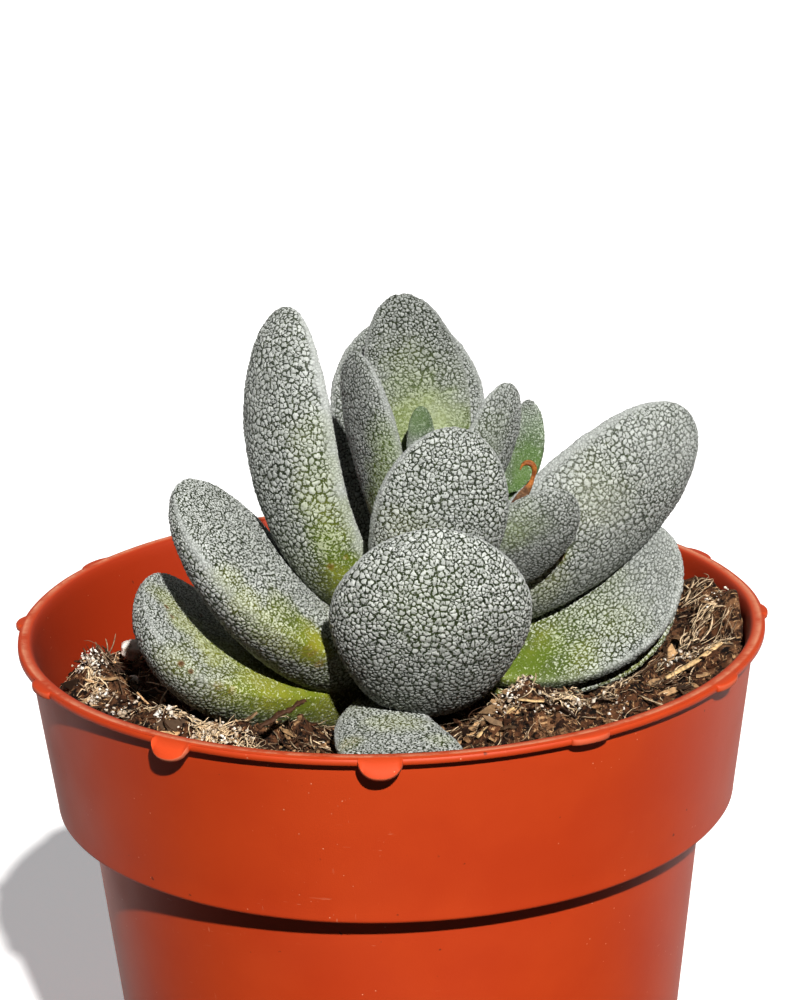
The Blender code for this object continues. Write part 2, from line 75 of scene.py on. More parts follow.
# root height on the stem, shoulder, elbow, tip, inner-face direction,
# half width, inner and outer thickness, fullness at the root, widest, start of the end
LEAVES = {
    "leaf_left_tall":    (1.6, (0.2, -0.9, 1.3), (-7.9, -4.6, 7.7), (-6.8, -0.6, 24.4), (0.70, 0.70, 0.15), 4.4, 0.9, 3.3, 0.41, 0.76, 0.64),
    "leaf_left_middle":  (-2.0, (-1.5, -0.8, -1.9), (-5.3, -6.4, -0.2), (-15.1, -4.9, 12.5), (0.18, -0.13, 0.97), 6.9, 1.5, 4.5, 0.22, 0.77, 0.58),
    "leaf_left_low":     (-4.4, (0.6, -1.3, -3.6), (-12.2, -3.7, -4.0), (-18.0, -4.0, 4.6), (0.32, -0.08, 0.94), 7.7, 1.0, 4.8, 0.22, 0.95, 0.62),
    "leaf_front_large":  (-1.3, (2.7, -1.6, -1.3), (2.3, -11.4, -2.9), (3.3, -14.3, 11.6), (-0.05, 0.93, 0.37), 7.9, 1.0, 4.3, 0.27, 0.97, 0.61),
    "leaf_front_upper":  (3.4, (2.7, -1.2, 2.9), (2.3, -7.2, 3.9), (5.2, -7.8, 17.0), (-0.15, 0.95, 0.30), 5.1, 0.9, 2.3, 0.42, 0.76, 0.65),
    "leaf_back_inner":   (5.0, (2.8, 1.2, 4.7), (3.5, 5.0, 11.8), (1.2, 5.5, 23.6), (0.05, -1.00, 0.10), 4.1, 0.7, 2.0, 0.40, 0.78, 0.56),
    "leaf_back_outer":   (2.2, (3.0, 1.5, 1.5), (1.9, 10.1, 8.5), (1.4, 10.9, 20.5), (-0.05, -0.95, 0.25), 6.0, 0.8, 2.4, 0.72, 0.77, 0.65),
    "leaf_back_low":     (-2.2, (2.9, 1.8, -2.4), (2.4, 10.5, -5.4), (3.2, 18.6, 1.6), (0.05, -0.55, 0.80), 5.0, 0.8, 2.2, 0.35, 0.75, 0.62),
    "leaf_inner_left":   (5.2, (1.3, -0.4, 5.0), (0.0, -1.1, 11.6), (-2.1, 0.2, 20.7), (0.85, 0.50, 0.10), 3.4, 0.6, 1.7, 0.42, 0.75, 0.63),
    "leaf_heart":        (6.5, (2.7, 0.0, 6.9), (2.5, 0.1, 11.9), (2.7, 0.4, 16.3), (0.10, -1.00, 0.00), 1.1, 0.4, 0.8, 0.60, 0.75, 0.62),
    "leaf_inner_right":  (4.9, (3.7, 0.3, 5.5), (7.0, 0.6, 10.3), (9.1, 0.9, 17.8), (-0.60, 0.70, 0.40), 2.8, 0.6, 1.3, 0.42, 0.75, 0.63),
    "leaf_offset_green": (3.7, (4.2, 1.8, 3.8), (11.2, 3.9, 8.7), (10.8, 4.9, 15.3), (-0.60, -0.75, 0.20), 1.7, 0.5, 1.0, 0.42, 0.70, 0.60),
    "leaf_offset_front": (2.2, (5.1, -1.0, 2.3), (8.3, -4.2, 5.5), (13.3, -5.0, 11.0), (-0.25, 0.95, 0.25), 3.4, 0.6, 1.6, 0.41, 0.62, 0.57),
    "leaf_right_large":  (0.4, (3.9, 0.2, 0.6), (15.5, 2.7, 5.7), (22.2, 3.4, 14.9), (-0.30, 0.90, 0.25), 5.7, 1.2, 3.3, 0.57, 0.57, 0.49),
    "leaf_right_low":    (-2.6, (4.4, -0.3, -2.4), (14.6, 2.8, -4.5), (21.1, 2.7, 5.2), (-0.40, -0.45, 0.80), 6.4, 0.8, 2.3, 0.38, 0.70, 0.65),
    "leaf_right_lowest": (-4.6, (5.2, -0.3, -4.4), (14.4, 3.4, -6.4), (21.4, 3.5, 0.7), (-0.40, -0.40, 0.82), 4.7, 0.6, 1.4, 0.45, 0.70, 0.62),
    "leaf_front_low":    (-4.9, (1.4, -2.6, -5.0), (-3.6, -11.0, -3.8), (3.2, -23.3, -3.7), (0.00, -0.02, 1.00), 4.6, 0.9, 1.9, 0.30, 1.00, 0.62),
}

# How each leaf wears its bloom: plate size on the outer and the inner face (mm),
# how far up from the root the green shows, how bare the root is, how yellow its
# green is, and how strong the pale margin is.
BLOOM = {
    "leaf_left_tall":    (0.43, 0.36, 0.46, 0.30, 0.85, 0.80),
    "leaf_left_middle":  (0.42, 0.33, 0.50, 0.35, 0.75, 0.65),
    "leaf_left_low":     (0.42, 0.34, 0.85, 0.30, 0.95, 0.60),
    "leaf_front_large":  (0.43, 0.40, 0.10, 0.50, 0.30, 0.80),
    "leaf_front_upper":  (0.37, 0.34, 0.25, 0.60, 0.50, 0.70),
    "leaf_back_inner":   (0.42, 0.31, 0.80, 0.35, 0.75, 0.70),
    "leaf_back_outer":   (0.46, 0.32, 0.40, 0.50, 0.50, 0.70),
    "leaf_back_low":     (0.48, 0.42, 0.40, 0.40, 0.70, 0.60),
    "leaf_inner_left":   (0.33, 0.31, 0.35, 0.40, 0.70, 0.70),
    "leaf_heart":        (0.24, 0.24, 0.90, 0.35, 0.90, 0.40),
    "leaf_inner_right":  (0.32, 0.30, 0.30, 0.50, 0.60, 0.70),
    "leaf_offset_green": (0.32, 0.28, 0.95, 0.30, 0.85, 0.40),
    "leaf_offset_front": (0.33, 0.32, 0.35, 0.50, 0.55, 0.60),
    "leaf_right_large":  (0.41, 0.40, 0.25, 0.45, 0.60, 0.70),
    "leaf_right_low":    (0.44, 0.37, 0.60, 0.30, 0.80, 0.60),
    "leaf_right_lowest": (0.46, 0.40, 0.60, 0.35, 0.80, 0.40),
    "leaf_front_low":    (0.46, 0.33, 0.45, 0.45, 0.60, 0.70),
}

# Leaves whose bloom is softer, with shallow pale cracks: overall, and more toward the tip.
SOFT = {
    "leaf_back_inner": (0.55, -0.38), "leaf_back_outer": (0.40, 0.0), "leaf_inner_left": (0.34, 0.0), "leaf_heart": (0.55, 0.0),
    "leaf_inner_right": (0.38, 0.0), "leaf_offset_green": (0.40, 0.15), "leaf_front_upper": (0.26, 0.0),
    "leaf_offset_front": (0.40, 0.0), "leaf_right_low": (0.20, 0.34), "leaf_right_large": (0.40, 0.05), "leaf_left_low": (0.28, 0.0),
    "leaf_left_tall": (0.24, 0.08), "leaf_left_middle": (0.17, 0.05), "leaf_front_low": (0.15, 0.0),
}
# Leaves whose green is fresh rather than yellow, and how wide a leaf's pale margin is.
FRESH = {"leaf_heart": 0.95, "leaf_offset_green": 0.95, "leaf_inner_left": 0.6, "leaf_back_inner": 0.45, "leaf_left_tall": 0.30,
         "leaf_right_low": 0.35, "leaf_inner_right": 0.7, "leaf_offset_front": 0.6, "leaf_front_large": 0.6}
MARGIN_WIDTH = {"leaf_right_large": 2.2, "leaf_left_tall": 2.0, "leaf_left_middle": 1.2, "leaf_left_low": 1.0, "leaf_heart": 1.2,
                "leaf_front_upper": 1.6, "leaf_back_inner": 0.8, "leaf_inner_left": 1.2, "leaf_offset_front": 1.3}
# Thinner, darker bloom: at a leaf's root and at its tip.
THIN = {"leaf_back_outer": (0.80, 0.80), "leaf_heart": (0.72, 0.70), "leaf_back_inner": (1.0, 0.68), "leaf_offset_front": (0.78, 0.82), "leaf_inner_left": (0.85, 0.80),
        "leaf_inner_right": (0.85, 0.88), "leaf_front_low": (0.95, 0.95)}

# Where one leaf is greener, barer or scarred: place along the leaf (0 root, 1 tip),
# place across it, face (1 inner, -1 outer), radius (mm), green, change of bloom, brown.
MARKS = {
    "leaf_left_tall": (
        (0.70, -0.88, -1, 2, 0.22, 0, 0), (0.59, -0.90, -1, 2, 0.32, 0, 0), (0.47, -0.92, -1, 1.9, 0.45, -0.05, 0),
        (0.40, -0.80, -1, 1.9, 0.80, -0.20, 0), (0.30, -0.80, -1, 1.7, 1, -0.42, 0), (0.25, -0.50, -1, 1.5, 0.8, -0.35, 0), (0.52, -0.70, -1, 1.6, 0.45, 0, 0),
        (0.33, -0.65, -1, 0.30, 0, -0.1, 0.6), (0.33, -0.90, -1, 0.25, 0, 0, 0.4),
    ),
    "leaf_left_middle": (
        (0.78, -0.87, 1, 1.3, 0.3, 0, 0), (0.71, -0.97, 1, 1.6, 0.42, 0, 0), (0.63, -1.00, 1, 1.9, 0.5, -0.05, 0),
        (0.53, -1.00, -1, 2, 0.65, -0.12, 0), (0.52, -0.90, 1, 1.8, 0.9, -0.4, 0), (0.47, -1.00, 1, 1.5, 1, -0.45, 0),
        (0.49, -1.00, 1, 0.8, 0, -0.1, 0.30), (0.43, -0.99, -1, 0.5, 0, -0.1, 0.34), (0.61, -0.76, 1, 1.8, 0.5, -0.15, 0),
    ),
    "leaf_left_low": (
        (0.90, 0.00, 1, 1.8, 0.5, -0.08, 0), (0.81, -0.27, 1, 2.2, 0.62, -0.04, 0), (0.70, -0.42, 1, 2.3, 0.7, -0.05, 0),
        (0.79, -1.00, 1, 2, 0.35, -0.05, 0), (0.61, -0.34, 1, 2.4, 0.8, -0.06, 0), (0.51, -0.93, 1, 2.5, 0.95, -0.16, 0),
        (0.41, -0.99, 1, 2.3, 1, -0.34, 0), (0.33, -1.00, -1, 1.8, 1, -0.48, 0), (0.59, -1.00, -1, 1.8, 0.6, -0.1, 0.08),
        (0.90, -0.23, 1, 0.28, 0, 0, 0.95), (0.79, -1.00, 1, 0.3, 0, 0, 1), (0.75, -1.00, 1, 0.22, 0, 0, 0.9),
        (0.87, -0.34, 1, 0.25, 0, 0, 0.8), (0.64, -1.00, 1, 0.5, 0, -0.05, 0.3), (0.59, -1.00, -1, 0.4, 0, -0.05, 0.35),
        (0.74, 0.19, 1, 0.2, 0, 0, 0.8),
    ),
    "leaf_front_large": (
        (0.83, 0.10, -1, 3.5, 0.12, 0, 0),
    ),
    "leaf_front_upper": (
        (0.66, 0.52, -1, 2.5, 0.15, 0, 0),
    ),
    "leaf_back_inner": (
        (0.76, -0.10, 1, 2.2, 0.3, 0, 0), (0.66, -0.10, 1, 2.4, 0.55, -0.04, 0), (0.58, 0.23, 1, 2.4, 0.7, -0.06, 0),
        (0.56, -0.23, 1, 2.2, 0.8, -0.08, 0), (0.53, 0.59, 1, 2.2, 0.7, -0.06, 0), (0.50, -0.42, 1, 1.8, 0.9, -0.16, 0),
    ),
    "leaf_inner_left": (
        (0.69, -0.80, -1, 1.3, 0.40, 0, 0), (0.60, -0.80, -1, 1.5, 0.65, -0.06, 0), (0.50, -0.60, -1, 1.6, 0.7, -0.10, 0),
        (0.38, -0.27, -1, 1.4, 0.8, -0.3, 0), (0.28, 0.38, -1, 1.2, 1, -0.6, 0),
    ),
    "leaf_heart": (
        (0.93, -0.45, 1, 1.6, 0.75, -0.45, 0), (0.88, -0.19, 1, 1.5, 0.8, -0.3, 0),
    ),
    "leaf_inner_right": (
        (0.79, 0.38, -1, 1.6, 0.2, 0, 0), (0.68, 0.34, -1, 1.2, 0.25, 0, 0),
    ),
    "leaf_offset_green": (
        (0.83, 0.59, 1, 1.8, 0.55, -0.15, 0), (0.68, 0.38, 1, 1.8, 0.75, -0.4, 0), (0.57, 0.65, 1, 1.6, 0.9, -0.62, 0),
        (0.67, 0.92, 1, 1.2, 0.8, -0.5, 0), (0.48, 0.88, 1, 1.5, 1, -0.75, 0),
    ),
    "leaf_offset_front": (
        (0.76, 0.45, -1, 1.8, 0.35, -0.03, 0), (0.67, 0.52, -1, 1.6, 0.5, -0.1, 0),
    ),
    "leaf_right_large": (
        (0.38, 0.14, -1, 0.35, 0, 0, 0.75), (0.38, 0.19, -1, 0.3, 0, 0, 0.6), (0.37, 0.19, -1, 1, 0.5, -0.2, 0),
        (0.59, 0.45, -1, 3, 0.15, 0, 0), (0.29, -0.14, -1, 2, 0.3, 0, 0),
    ),
    "leaf_right_low": (
        (0.69, -0.05, 1, 2.6, 0.22, 0, 0), (0.52, 0.10, 1, 2.6, 0.35, -0.03, 0), (0.36, 0.34, 1, 2.4, 0.62, -0.15, 0),
        (0.26, 0.59, 1, 2, 0.95, -0.5, 0), (0.22, 0.73, 1, 1.6, 1, -0.65, 0), (0.44, 0.62, 1, 2.6, 0.5, -0.1, 0),
        (0.65, 0.45, 1, 2.6, 0.3, 0, 0),
    ),
    "leaf_right_lowest": (
        (0.69, 1.00, 1, 3, 0.45, -0.2, 0), (0.81, 0.99, 1, 3, 0.3, -0.1, 0),
    ),
    "leaf_front_low": (
        (0.67, 0.78, 1, 1.2, 0.3, -0.1, 0.2), (0.76, -0.65, 1, 1.2, 0.25, -0.05, 0), (0.56, -0.14, 1, 2.2, 0.3, 0, 0),
    ),
}

VIEW_FROM = np.array([0.0, -225.16, 129.44])   # where the photograph was taken from, mm
SAMPLE = 0.105     # spacing of the points that plates are grown from
COARSE = 1.0


# ---------------------------------------------------------------- small helpers
def link(ob):
    bpy.context.scene.collection.objects.link(ob)
    return ob


def mesh_piece(name, verts, faces, mat, smooth=True):
    """verts in millimetres."""
    me = bpy.data.meshes.new(name)
    me.from_pydata([tuple(float(c) * MM for c in v) for v in verts], [], faces)
    me.validate()
    me.materials.append(mat)
    ob = link(bpy.data.objects.new(name, me))
    if smooth:
        me.shade_smooth()
    return ob


def poly_piece(name, verts, loops, starts, mat):
    """A piece from flat arrays: verts (n, 3) in mm, corner vertex indices, first corner of each face."""
    me = bpy.data.meshes.new(name)
    me.vertices.add(len(verts))
    me.vertices.foreach_set("co", (np.asarray(verts, np.float32) * MM).ravel())
    me.loops.add(len(loops))
    me.loops.foreach_set("vertex_index", np.asarray(loops, np.int32))
    me.polygons.add(len(starts))
    me.polygons.foreach_set("loop_start", np.asarray(starts, np.int32))
    me.update(calc_edges=True)
    me.validate()
    me.materials.append(mat)
    me.shade_smooth()
    return link(bpy.data.objects.new(name, me))


def point_value(ob, name, values):
    a = ob.data.attributes.new(name, 'FLOAT', 'POINT')
    a.data.foreach_set("value", np.asarray(values, np.float32))


def smoothstep(a, b, x):
    u = np.clip((x - a) / (b - a), 0, 1)
    return u * u * (3 - 2 * u)


def fractal(points, scale, octaves=3, seed=0.0):
    """Smooth noise in about -1..1 at points in mm."""
    off = Vector((seed * 7.3, seed * 3.1, seed * 5.7))
    out = np.empty(len(points))
    for i, p in enumerate(points):
        q = Vector(p) * scale + off
        v = noise.noise(q)
        k = 0.5
        for _ in range(octaves - 1):
            q = q * 2.03
            v += k * noise.noise(q)
            k *= 0.5
        out[i] = v
    return out


# ---------------------------------------------------------------- node helpers
class Tree:
    def __init__(self, name):
        self.m = bpy.data.materials.new(name)
        self.m.use_nodes = True
        self.nt = self.m.node_tree
        self.out = self.nt.nodes["Material Output"]
        self.bsdf = self.nt.nodes["Principled BSDF"]
        tc = self.nt.nodes.new("ShaderNodeTexCoord")
        self.co = tc.outputs["Object"]

    def put(self, socket, value):
        if hasattr(value, "is_output"):
            self.nt.links.new(value, socket)
        elif value is not None:
            if hasattr(value, "__len__") and len(value) == 3 and socket.type == 'RGBA':
                value = (*value, 1.0)
            socket.default_value = value

    def attr(self, name):
        n = self.nt.nodes.new("ShaderNodeAttribute")
        n.attribute_name = name
        return n.outputs["Fac"]

    def math(self, op, a, b=None, c=None, clamp=False):
        n = self.nt.nodes.new("ShaderNodeMath")
        n.operation = op
        n.use_clamp = clamp
        for s, v in zip(n.inputs, (a, b, c)):
            self.put(s, v)
        return n.outputs[0]

    def noise(self, scale, detail=2.0, rough=0.5, co=None, distortion=0.0):
        n = self.nt.nodes.new("ShaderNodeTexNoise")
        self.put(n.inputs["Vector"], co or self.co)
        n.inputs["Scale"].default_value = scale
        n.inputs["Detail"].default_value = detail
        n.inputs["Roughness"].default_value = rough
        n.inputs["Distortion"].default_value = distortion
        return n.outputs["Fac"]

    def voronoi(self, scale, feature='F1', co=None, randomness=1.0, out="Distance"):
        n = self.nt.nodes.new("ShaderNodeTexVoronoi")
        n.feature = feature
        self.put(n.inputs["Vector"], co or self.co)
        n.inputs["Scale"].default_value = scale
        n.inputs["Randomness"].default_value = randomness
        return n.outputs[out]

    def scaled(self, vec, co=None):
        n = self.nt.nodes.new("ShaderNodeMapping")
        self.put(n.inputs["Vector"], co or self.co)
        n.inputs["Scale"].default_value = vec
        return n.outputs[0]

    def ramp(self, x, lo, hi, a=0.0, b=1.0, smooth=True):
        n = self.nt.nodes.new("ShaderNodeMapRange")
        n.interpolation_type = 'SMOOTHSTEP' if smooth else 'LINEAR'
        self.put(n.inputs["Value"], x)
        for k, v in (("From Min", lo), ("From Max", hi), ("To Min", a), ("To Max", b)):
            self.put(n.inputs[k], v)
        return n.outputs[0]

    def mix(self, f, a, b, kind='MIX'):
        n = self.nt.nodes.new("ShaderNodeMix")
        n.data_type = 'RGBA'
        n.blend_type = kind
        ins = [s for s in n.inputs if s.enabled]
        self.put(n.inputs[0], f)
        self.put(n.inputs[6], a)
        self.put(n.inputs[7], b)
        return n.outputs[2]

    def bump(self, height, distance, strength=1.0, normal=None):
        n = self.nt.nodes.new("ShaderNodeBump")
        n.inputs["Strength"].default_value = strength
        n.inputs["Distance"].default_value = distance
        self.put(n.inputs["Height"], height)
        if normal is not None:
            self.put(n.inputs["Normal"], normal)
        return n.outputs[0]

    def set(self, **kw):
        names = {"color": "Base Color", "rough": "Roughness", "normal": "Normal",
                 "coat": "Coat Weight", "coat_rough": "Coat Roughness", "sheen": "Sheen Weight",
                 "sss": "Subsurface Weight", "sss_scale": "Subsurface Scale", "spec": "Specular IOR Level",
                 "trans": "Transmission Weight"}
        for k, v in kw.items():
            self.put(self.bsdf.inputs[names[k]], v)
        return self.m


# ---------------------------------------------------------------- leaf skin
def leaf_material(name):
    t = Tree(name)
    plate, cover, frost = t.attr("plate"), t.attr("cover"), t.attr("frost")
    tone, flesh, thin = t.attr("tone"), t.attr("flesh"), t.attr("thin")
    fine = t.noise(9000, 3, 0.6)
    rag = t.noise(6200, 2, 0.65)
    mid = t.noise(3000, 2, 0.55)
    broad = t.noise(260, 3, 0.5)
    # edge of each flake, ragged; where the bloom is thin only its middle is left
    edge = t.math('MULTIPLY_ADD', cover, -0.62, 1.00)
    # over green flesh the bloom breaks up into fine grains instead of flakes
    grain = t.math('MULTIPLY_ADD', t.math('SUBTRACT', t.noise(5200, 2, 0.6), 0.5), 3.2, 0.60)
    some = t.math('MULTIPLY', t.ramp(flesh, 0.35, 0.95), 0.75)
    plate = t.math('MULTIPLY_ADD', some, t.math('SUBTRACT', grain, plate), plate)
    ragged = t.math('MULTIPLY_ADD', t.math('SUBTRACT', rag, 0.5), 2.3, plate)
    ragged = t.math('MULTIPLY_ADD', t.math('SUBTRACT', mid, 0.5), 1.1, ragged)
    over = t.math('SUBTRACT', ragged, edge)
    mask = t.ramp(over, -0.08, 0.10)
    # small crumbs of wax lie in the cracks between the flakes
    dots = t.ramp(t.voronoi(6800, 'F1'), 0.34, 0.24)
    dots = t.math('MULTIPLY', dots, t.ramp(t.noise(4200, 1, 0.5), 0.46, 0.52))
    mask = t.math('MAXIMUM', mask, t.math('MULTIPLY', dots, t.math('MULTIPLY', cover, 0.85)))
    mask = t.math('MAXIMUM', mask, t.math('MULTIPLY', frost, t.ramp(t.math('ADD', fine, frost), 0.7, 1.15)))
    shade = t.math('ADD', t.math('MULTIPLY', tone, 0.22), t.math('MULTIPLY', fine, 0.78))
    silver = t.mix(t.ramp(shade, 0.25, 0.72), (0.315, 0.332, 0.312), (0.620, 0.642, 0.620))
    silver = t.mix(t.math('MULTIPLY', frost, 0.75), silver,
                   t.mix(t.ramp(frost, 0.45, 0.80), (0.345, 0.365, 0.350), (0.480, 0.500, 0.490)))
    # the green in the cracks between flakes, darkened well below the flesh's own green: painted shade in the cracks
    crack_green_shade = t.mix(t.ramp(mid, 0.3, 0.7), (0.020, 0.028, 0.015), (0.054, 0.070, 0.031))
    green_y = t.mix(t.ramp(broad, 0.35, 0.65), (0.145, 0.185, 0.014), (0.265, 0.270, 0.028))
    fresh = t.attr("fresh")
    green_y = t.mix(fresh, green_y, t.mix(t.ramp(broad, 0.35, 0.65), (0.045, 0.110, 0.020), (0.080, 0.160, 0.030)))
    under = t.mix(flesh, crack_green_shade, green_y)
    tint = t.mix(fresh, (0.520, 0.560, 0.245), (0.260, 0.370, 0.190))
    silver = t.mix(t.math('MULTIPLY', flesh, 0.72), silver, tint)
    colour = t.mix(mask, under, silver)
    scar = t.math('MULTIPLY', t.attr("scar"), t.ramp(t.math('ADD', mid, t.attr("scar")), 0.55, 0.95))
    # thin pulls the colour toward near-black: thinner bloom at root and tip, and painted shade where the leaf's faces
    # turn downward
    colour = t.mix(thin, (0.012, 0.016, 0.010), colour)
    brown = t.mix(t.ramp(t.attr("scar"), 0.35, 0.75), (0.400, 0.210, 0.030), (0.040, 0.014, 0.006))
    colour = t.mix(scar, colour, t.mix(t.ramp(fine, 0.3, 0.7), brown, (0.190, 0.085, 0.014)))
    rough = t.ramp(mask, 0, 1, 0.45, 0.80, smooth=False)
    b = t.bump(t.math('MULTIPLY_ADD', mask, 0.8, t.math('MULTIPLY', fine, 0.5)), 0.00005, 0.9)
    return t.set(color=colour, rough=rough, normal=b, spec=0.25, sheen=0.06)


# ---------------------------------------------------------------- leaves
def vrise(t, full, widest):
    return full + (1 - full) * np.sin(np.clip(t / widest, 0, 1) * math.pi / 2)


def vround(t, start, power=END_POWER):
    u = np.clip((t - start) / (1 - start), 0, 1)
    return np.sqrt(np.maximum(1 - u ** power, 0))


def unit(a):
    return a / np.maximum(np.linalg.norm(a, axis=-1, keepdims=True), 1e-12)


def leaf_frame(spec, t):
    """Centre line, across and inner-face directions, half width and thicknesses at t."""
    root_z, b, c, tip, face, half, t_in, t_out, full, widest, end = spec
    lift = np.array([0, 0, POT_HEIGHT])
    B, C, T = (np.array(v, float) + lift for v in (b, c, tip))
    face = unit(np.array(face, float))
    tc = np.clip(t, 0, 1)[:, None]
    P = B * (1 - tc) ** 2 + C * (2 * tc * (1 - tc)) + T * tc * tc
    D = unit((C - B) * (2 * (1 - tc)) + (T - C) * (2 * tc))
    tt = tc[:, 0]
    w = half * vrise(tt, full, widest) * vround(tt, end)
    a = vrise(tt, 0.55, 0.35) * vround(tt, 0.35, 2.2)
    ain, aout = t_in * a, t_out * a
    root = np.array([STEM_X, STEM_Y, POT_HEIGHT + root_z])
    back = np.clip(-t, 0, 1)[:, None]
    if np.linalg.norm(B - root) > 0.8:
        k = back[:, 0]
        P = P * (1 - back) + root * back
        w = w * (1 - k) + half * full * 0.62 * k
        ain = ain * (1 - k) + t_in * 0.45 * k
        aout = aout * (1 - k) + t_out * 0.40 * k
    N = unit(face - D * (D @ face)[:, None])
    S = np.cross(D, N)
    return P, S, N, w, ain, aout, np.linalg.norm(B - root)


def section_xy(ph):
    c, s = np.cos(ph), np.sin(ph)
    return (np.sign(c) * np.abs(c) ** (2 / SECTION_POWER), np.sign(s) * np.abs(s) ** (2 / SECTION_POWER))


def leaf_grid(name, step):
    """Fine points of a leaf's skin: positions, outward normals, and where each lies on the leaf."""
    spec = LEAVES[name]
    half, t_in, t_out = spec[5:8]
    dense = np.sin(np.linspace(0, 1, 600) * math.pi / 2)
    P, S, N, w, ain, aout, stub = leaf_frame(spec, dense)
    run = np.sqrt((np.diff(P, axis=0) ** 2).sum(1) + np.diff(w) ** 2 + np.diff(aout) ** 2)
    s = np.concatenate([[0], np.cumsum(run)])
    n = max(12, int(s[-1] / step))
    t = np.interp(np.linspace(0, 1, n + 1)[:-1] * s[-1], s, dense)
    t[-1] = min(t[-1], 0.99996)
    if stub > 0.8:
        k = max(2, int(stub / step))
        t = np.concatenate([-np.linspace(1, 0, k + 1)[:-1], t])
    # equal steps round the fullest section
    ph = np.linspace(0, 2 * math.pi, 4001)
    x, y = section_xy(ph)
    px, py = x * half, y * np.where(y > 0, t_in, t_out)
    g = np.concatenate([[0], np.cumsum(np.hypot(np.diff(px), np.diff(py)))])
    m = int(g[-1] / step)
    ph = np.interp(np.arange(m) / m * g[-1], g, ph)
    x, y = section_xy(ph)
    P, S, N, w, ain, aout, _ = leaf_frame(spec, t)
    pos = (P[:, None] + S[:, None] * (x[None, :, None] * w[:, None, None])
           + N[:, None] * (y[None, :] * np.where(y[None, :] > 0, ain[:, None], aout[:, None]))[:, :, None])
    du = np.roll(pos, -1, 1) - np.roll(pos, 1, 1)
    dv = np.gradient(pos, axis=0)
    nor = unit(np.cross(du, dv))
    if (nor * (pos - P[:, None])).sum() < 0:
        nor = -nor
    return dict(t=t, pos=pos, nor=nor, x=x, y=y, P=P, N=N, w=w, girth=g[-1], arc=np.arange(m) / m)


def margin_gap(name, t, x, y):
    """Distance in mm from the leaf's margin, where its inner and outer face meet."""
    half, t_in, t_out = LEAVES[name][5:8]
    thick = np.where(y > 0, t_in, t_out)
    local = vround(np.clip(t, 0, 1), LEAVES[name][10])
    return np.hypot((1 - np.abs(x)) * half * np.maximum(local, 0.25), y * thick)


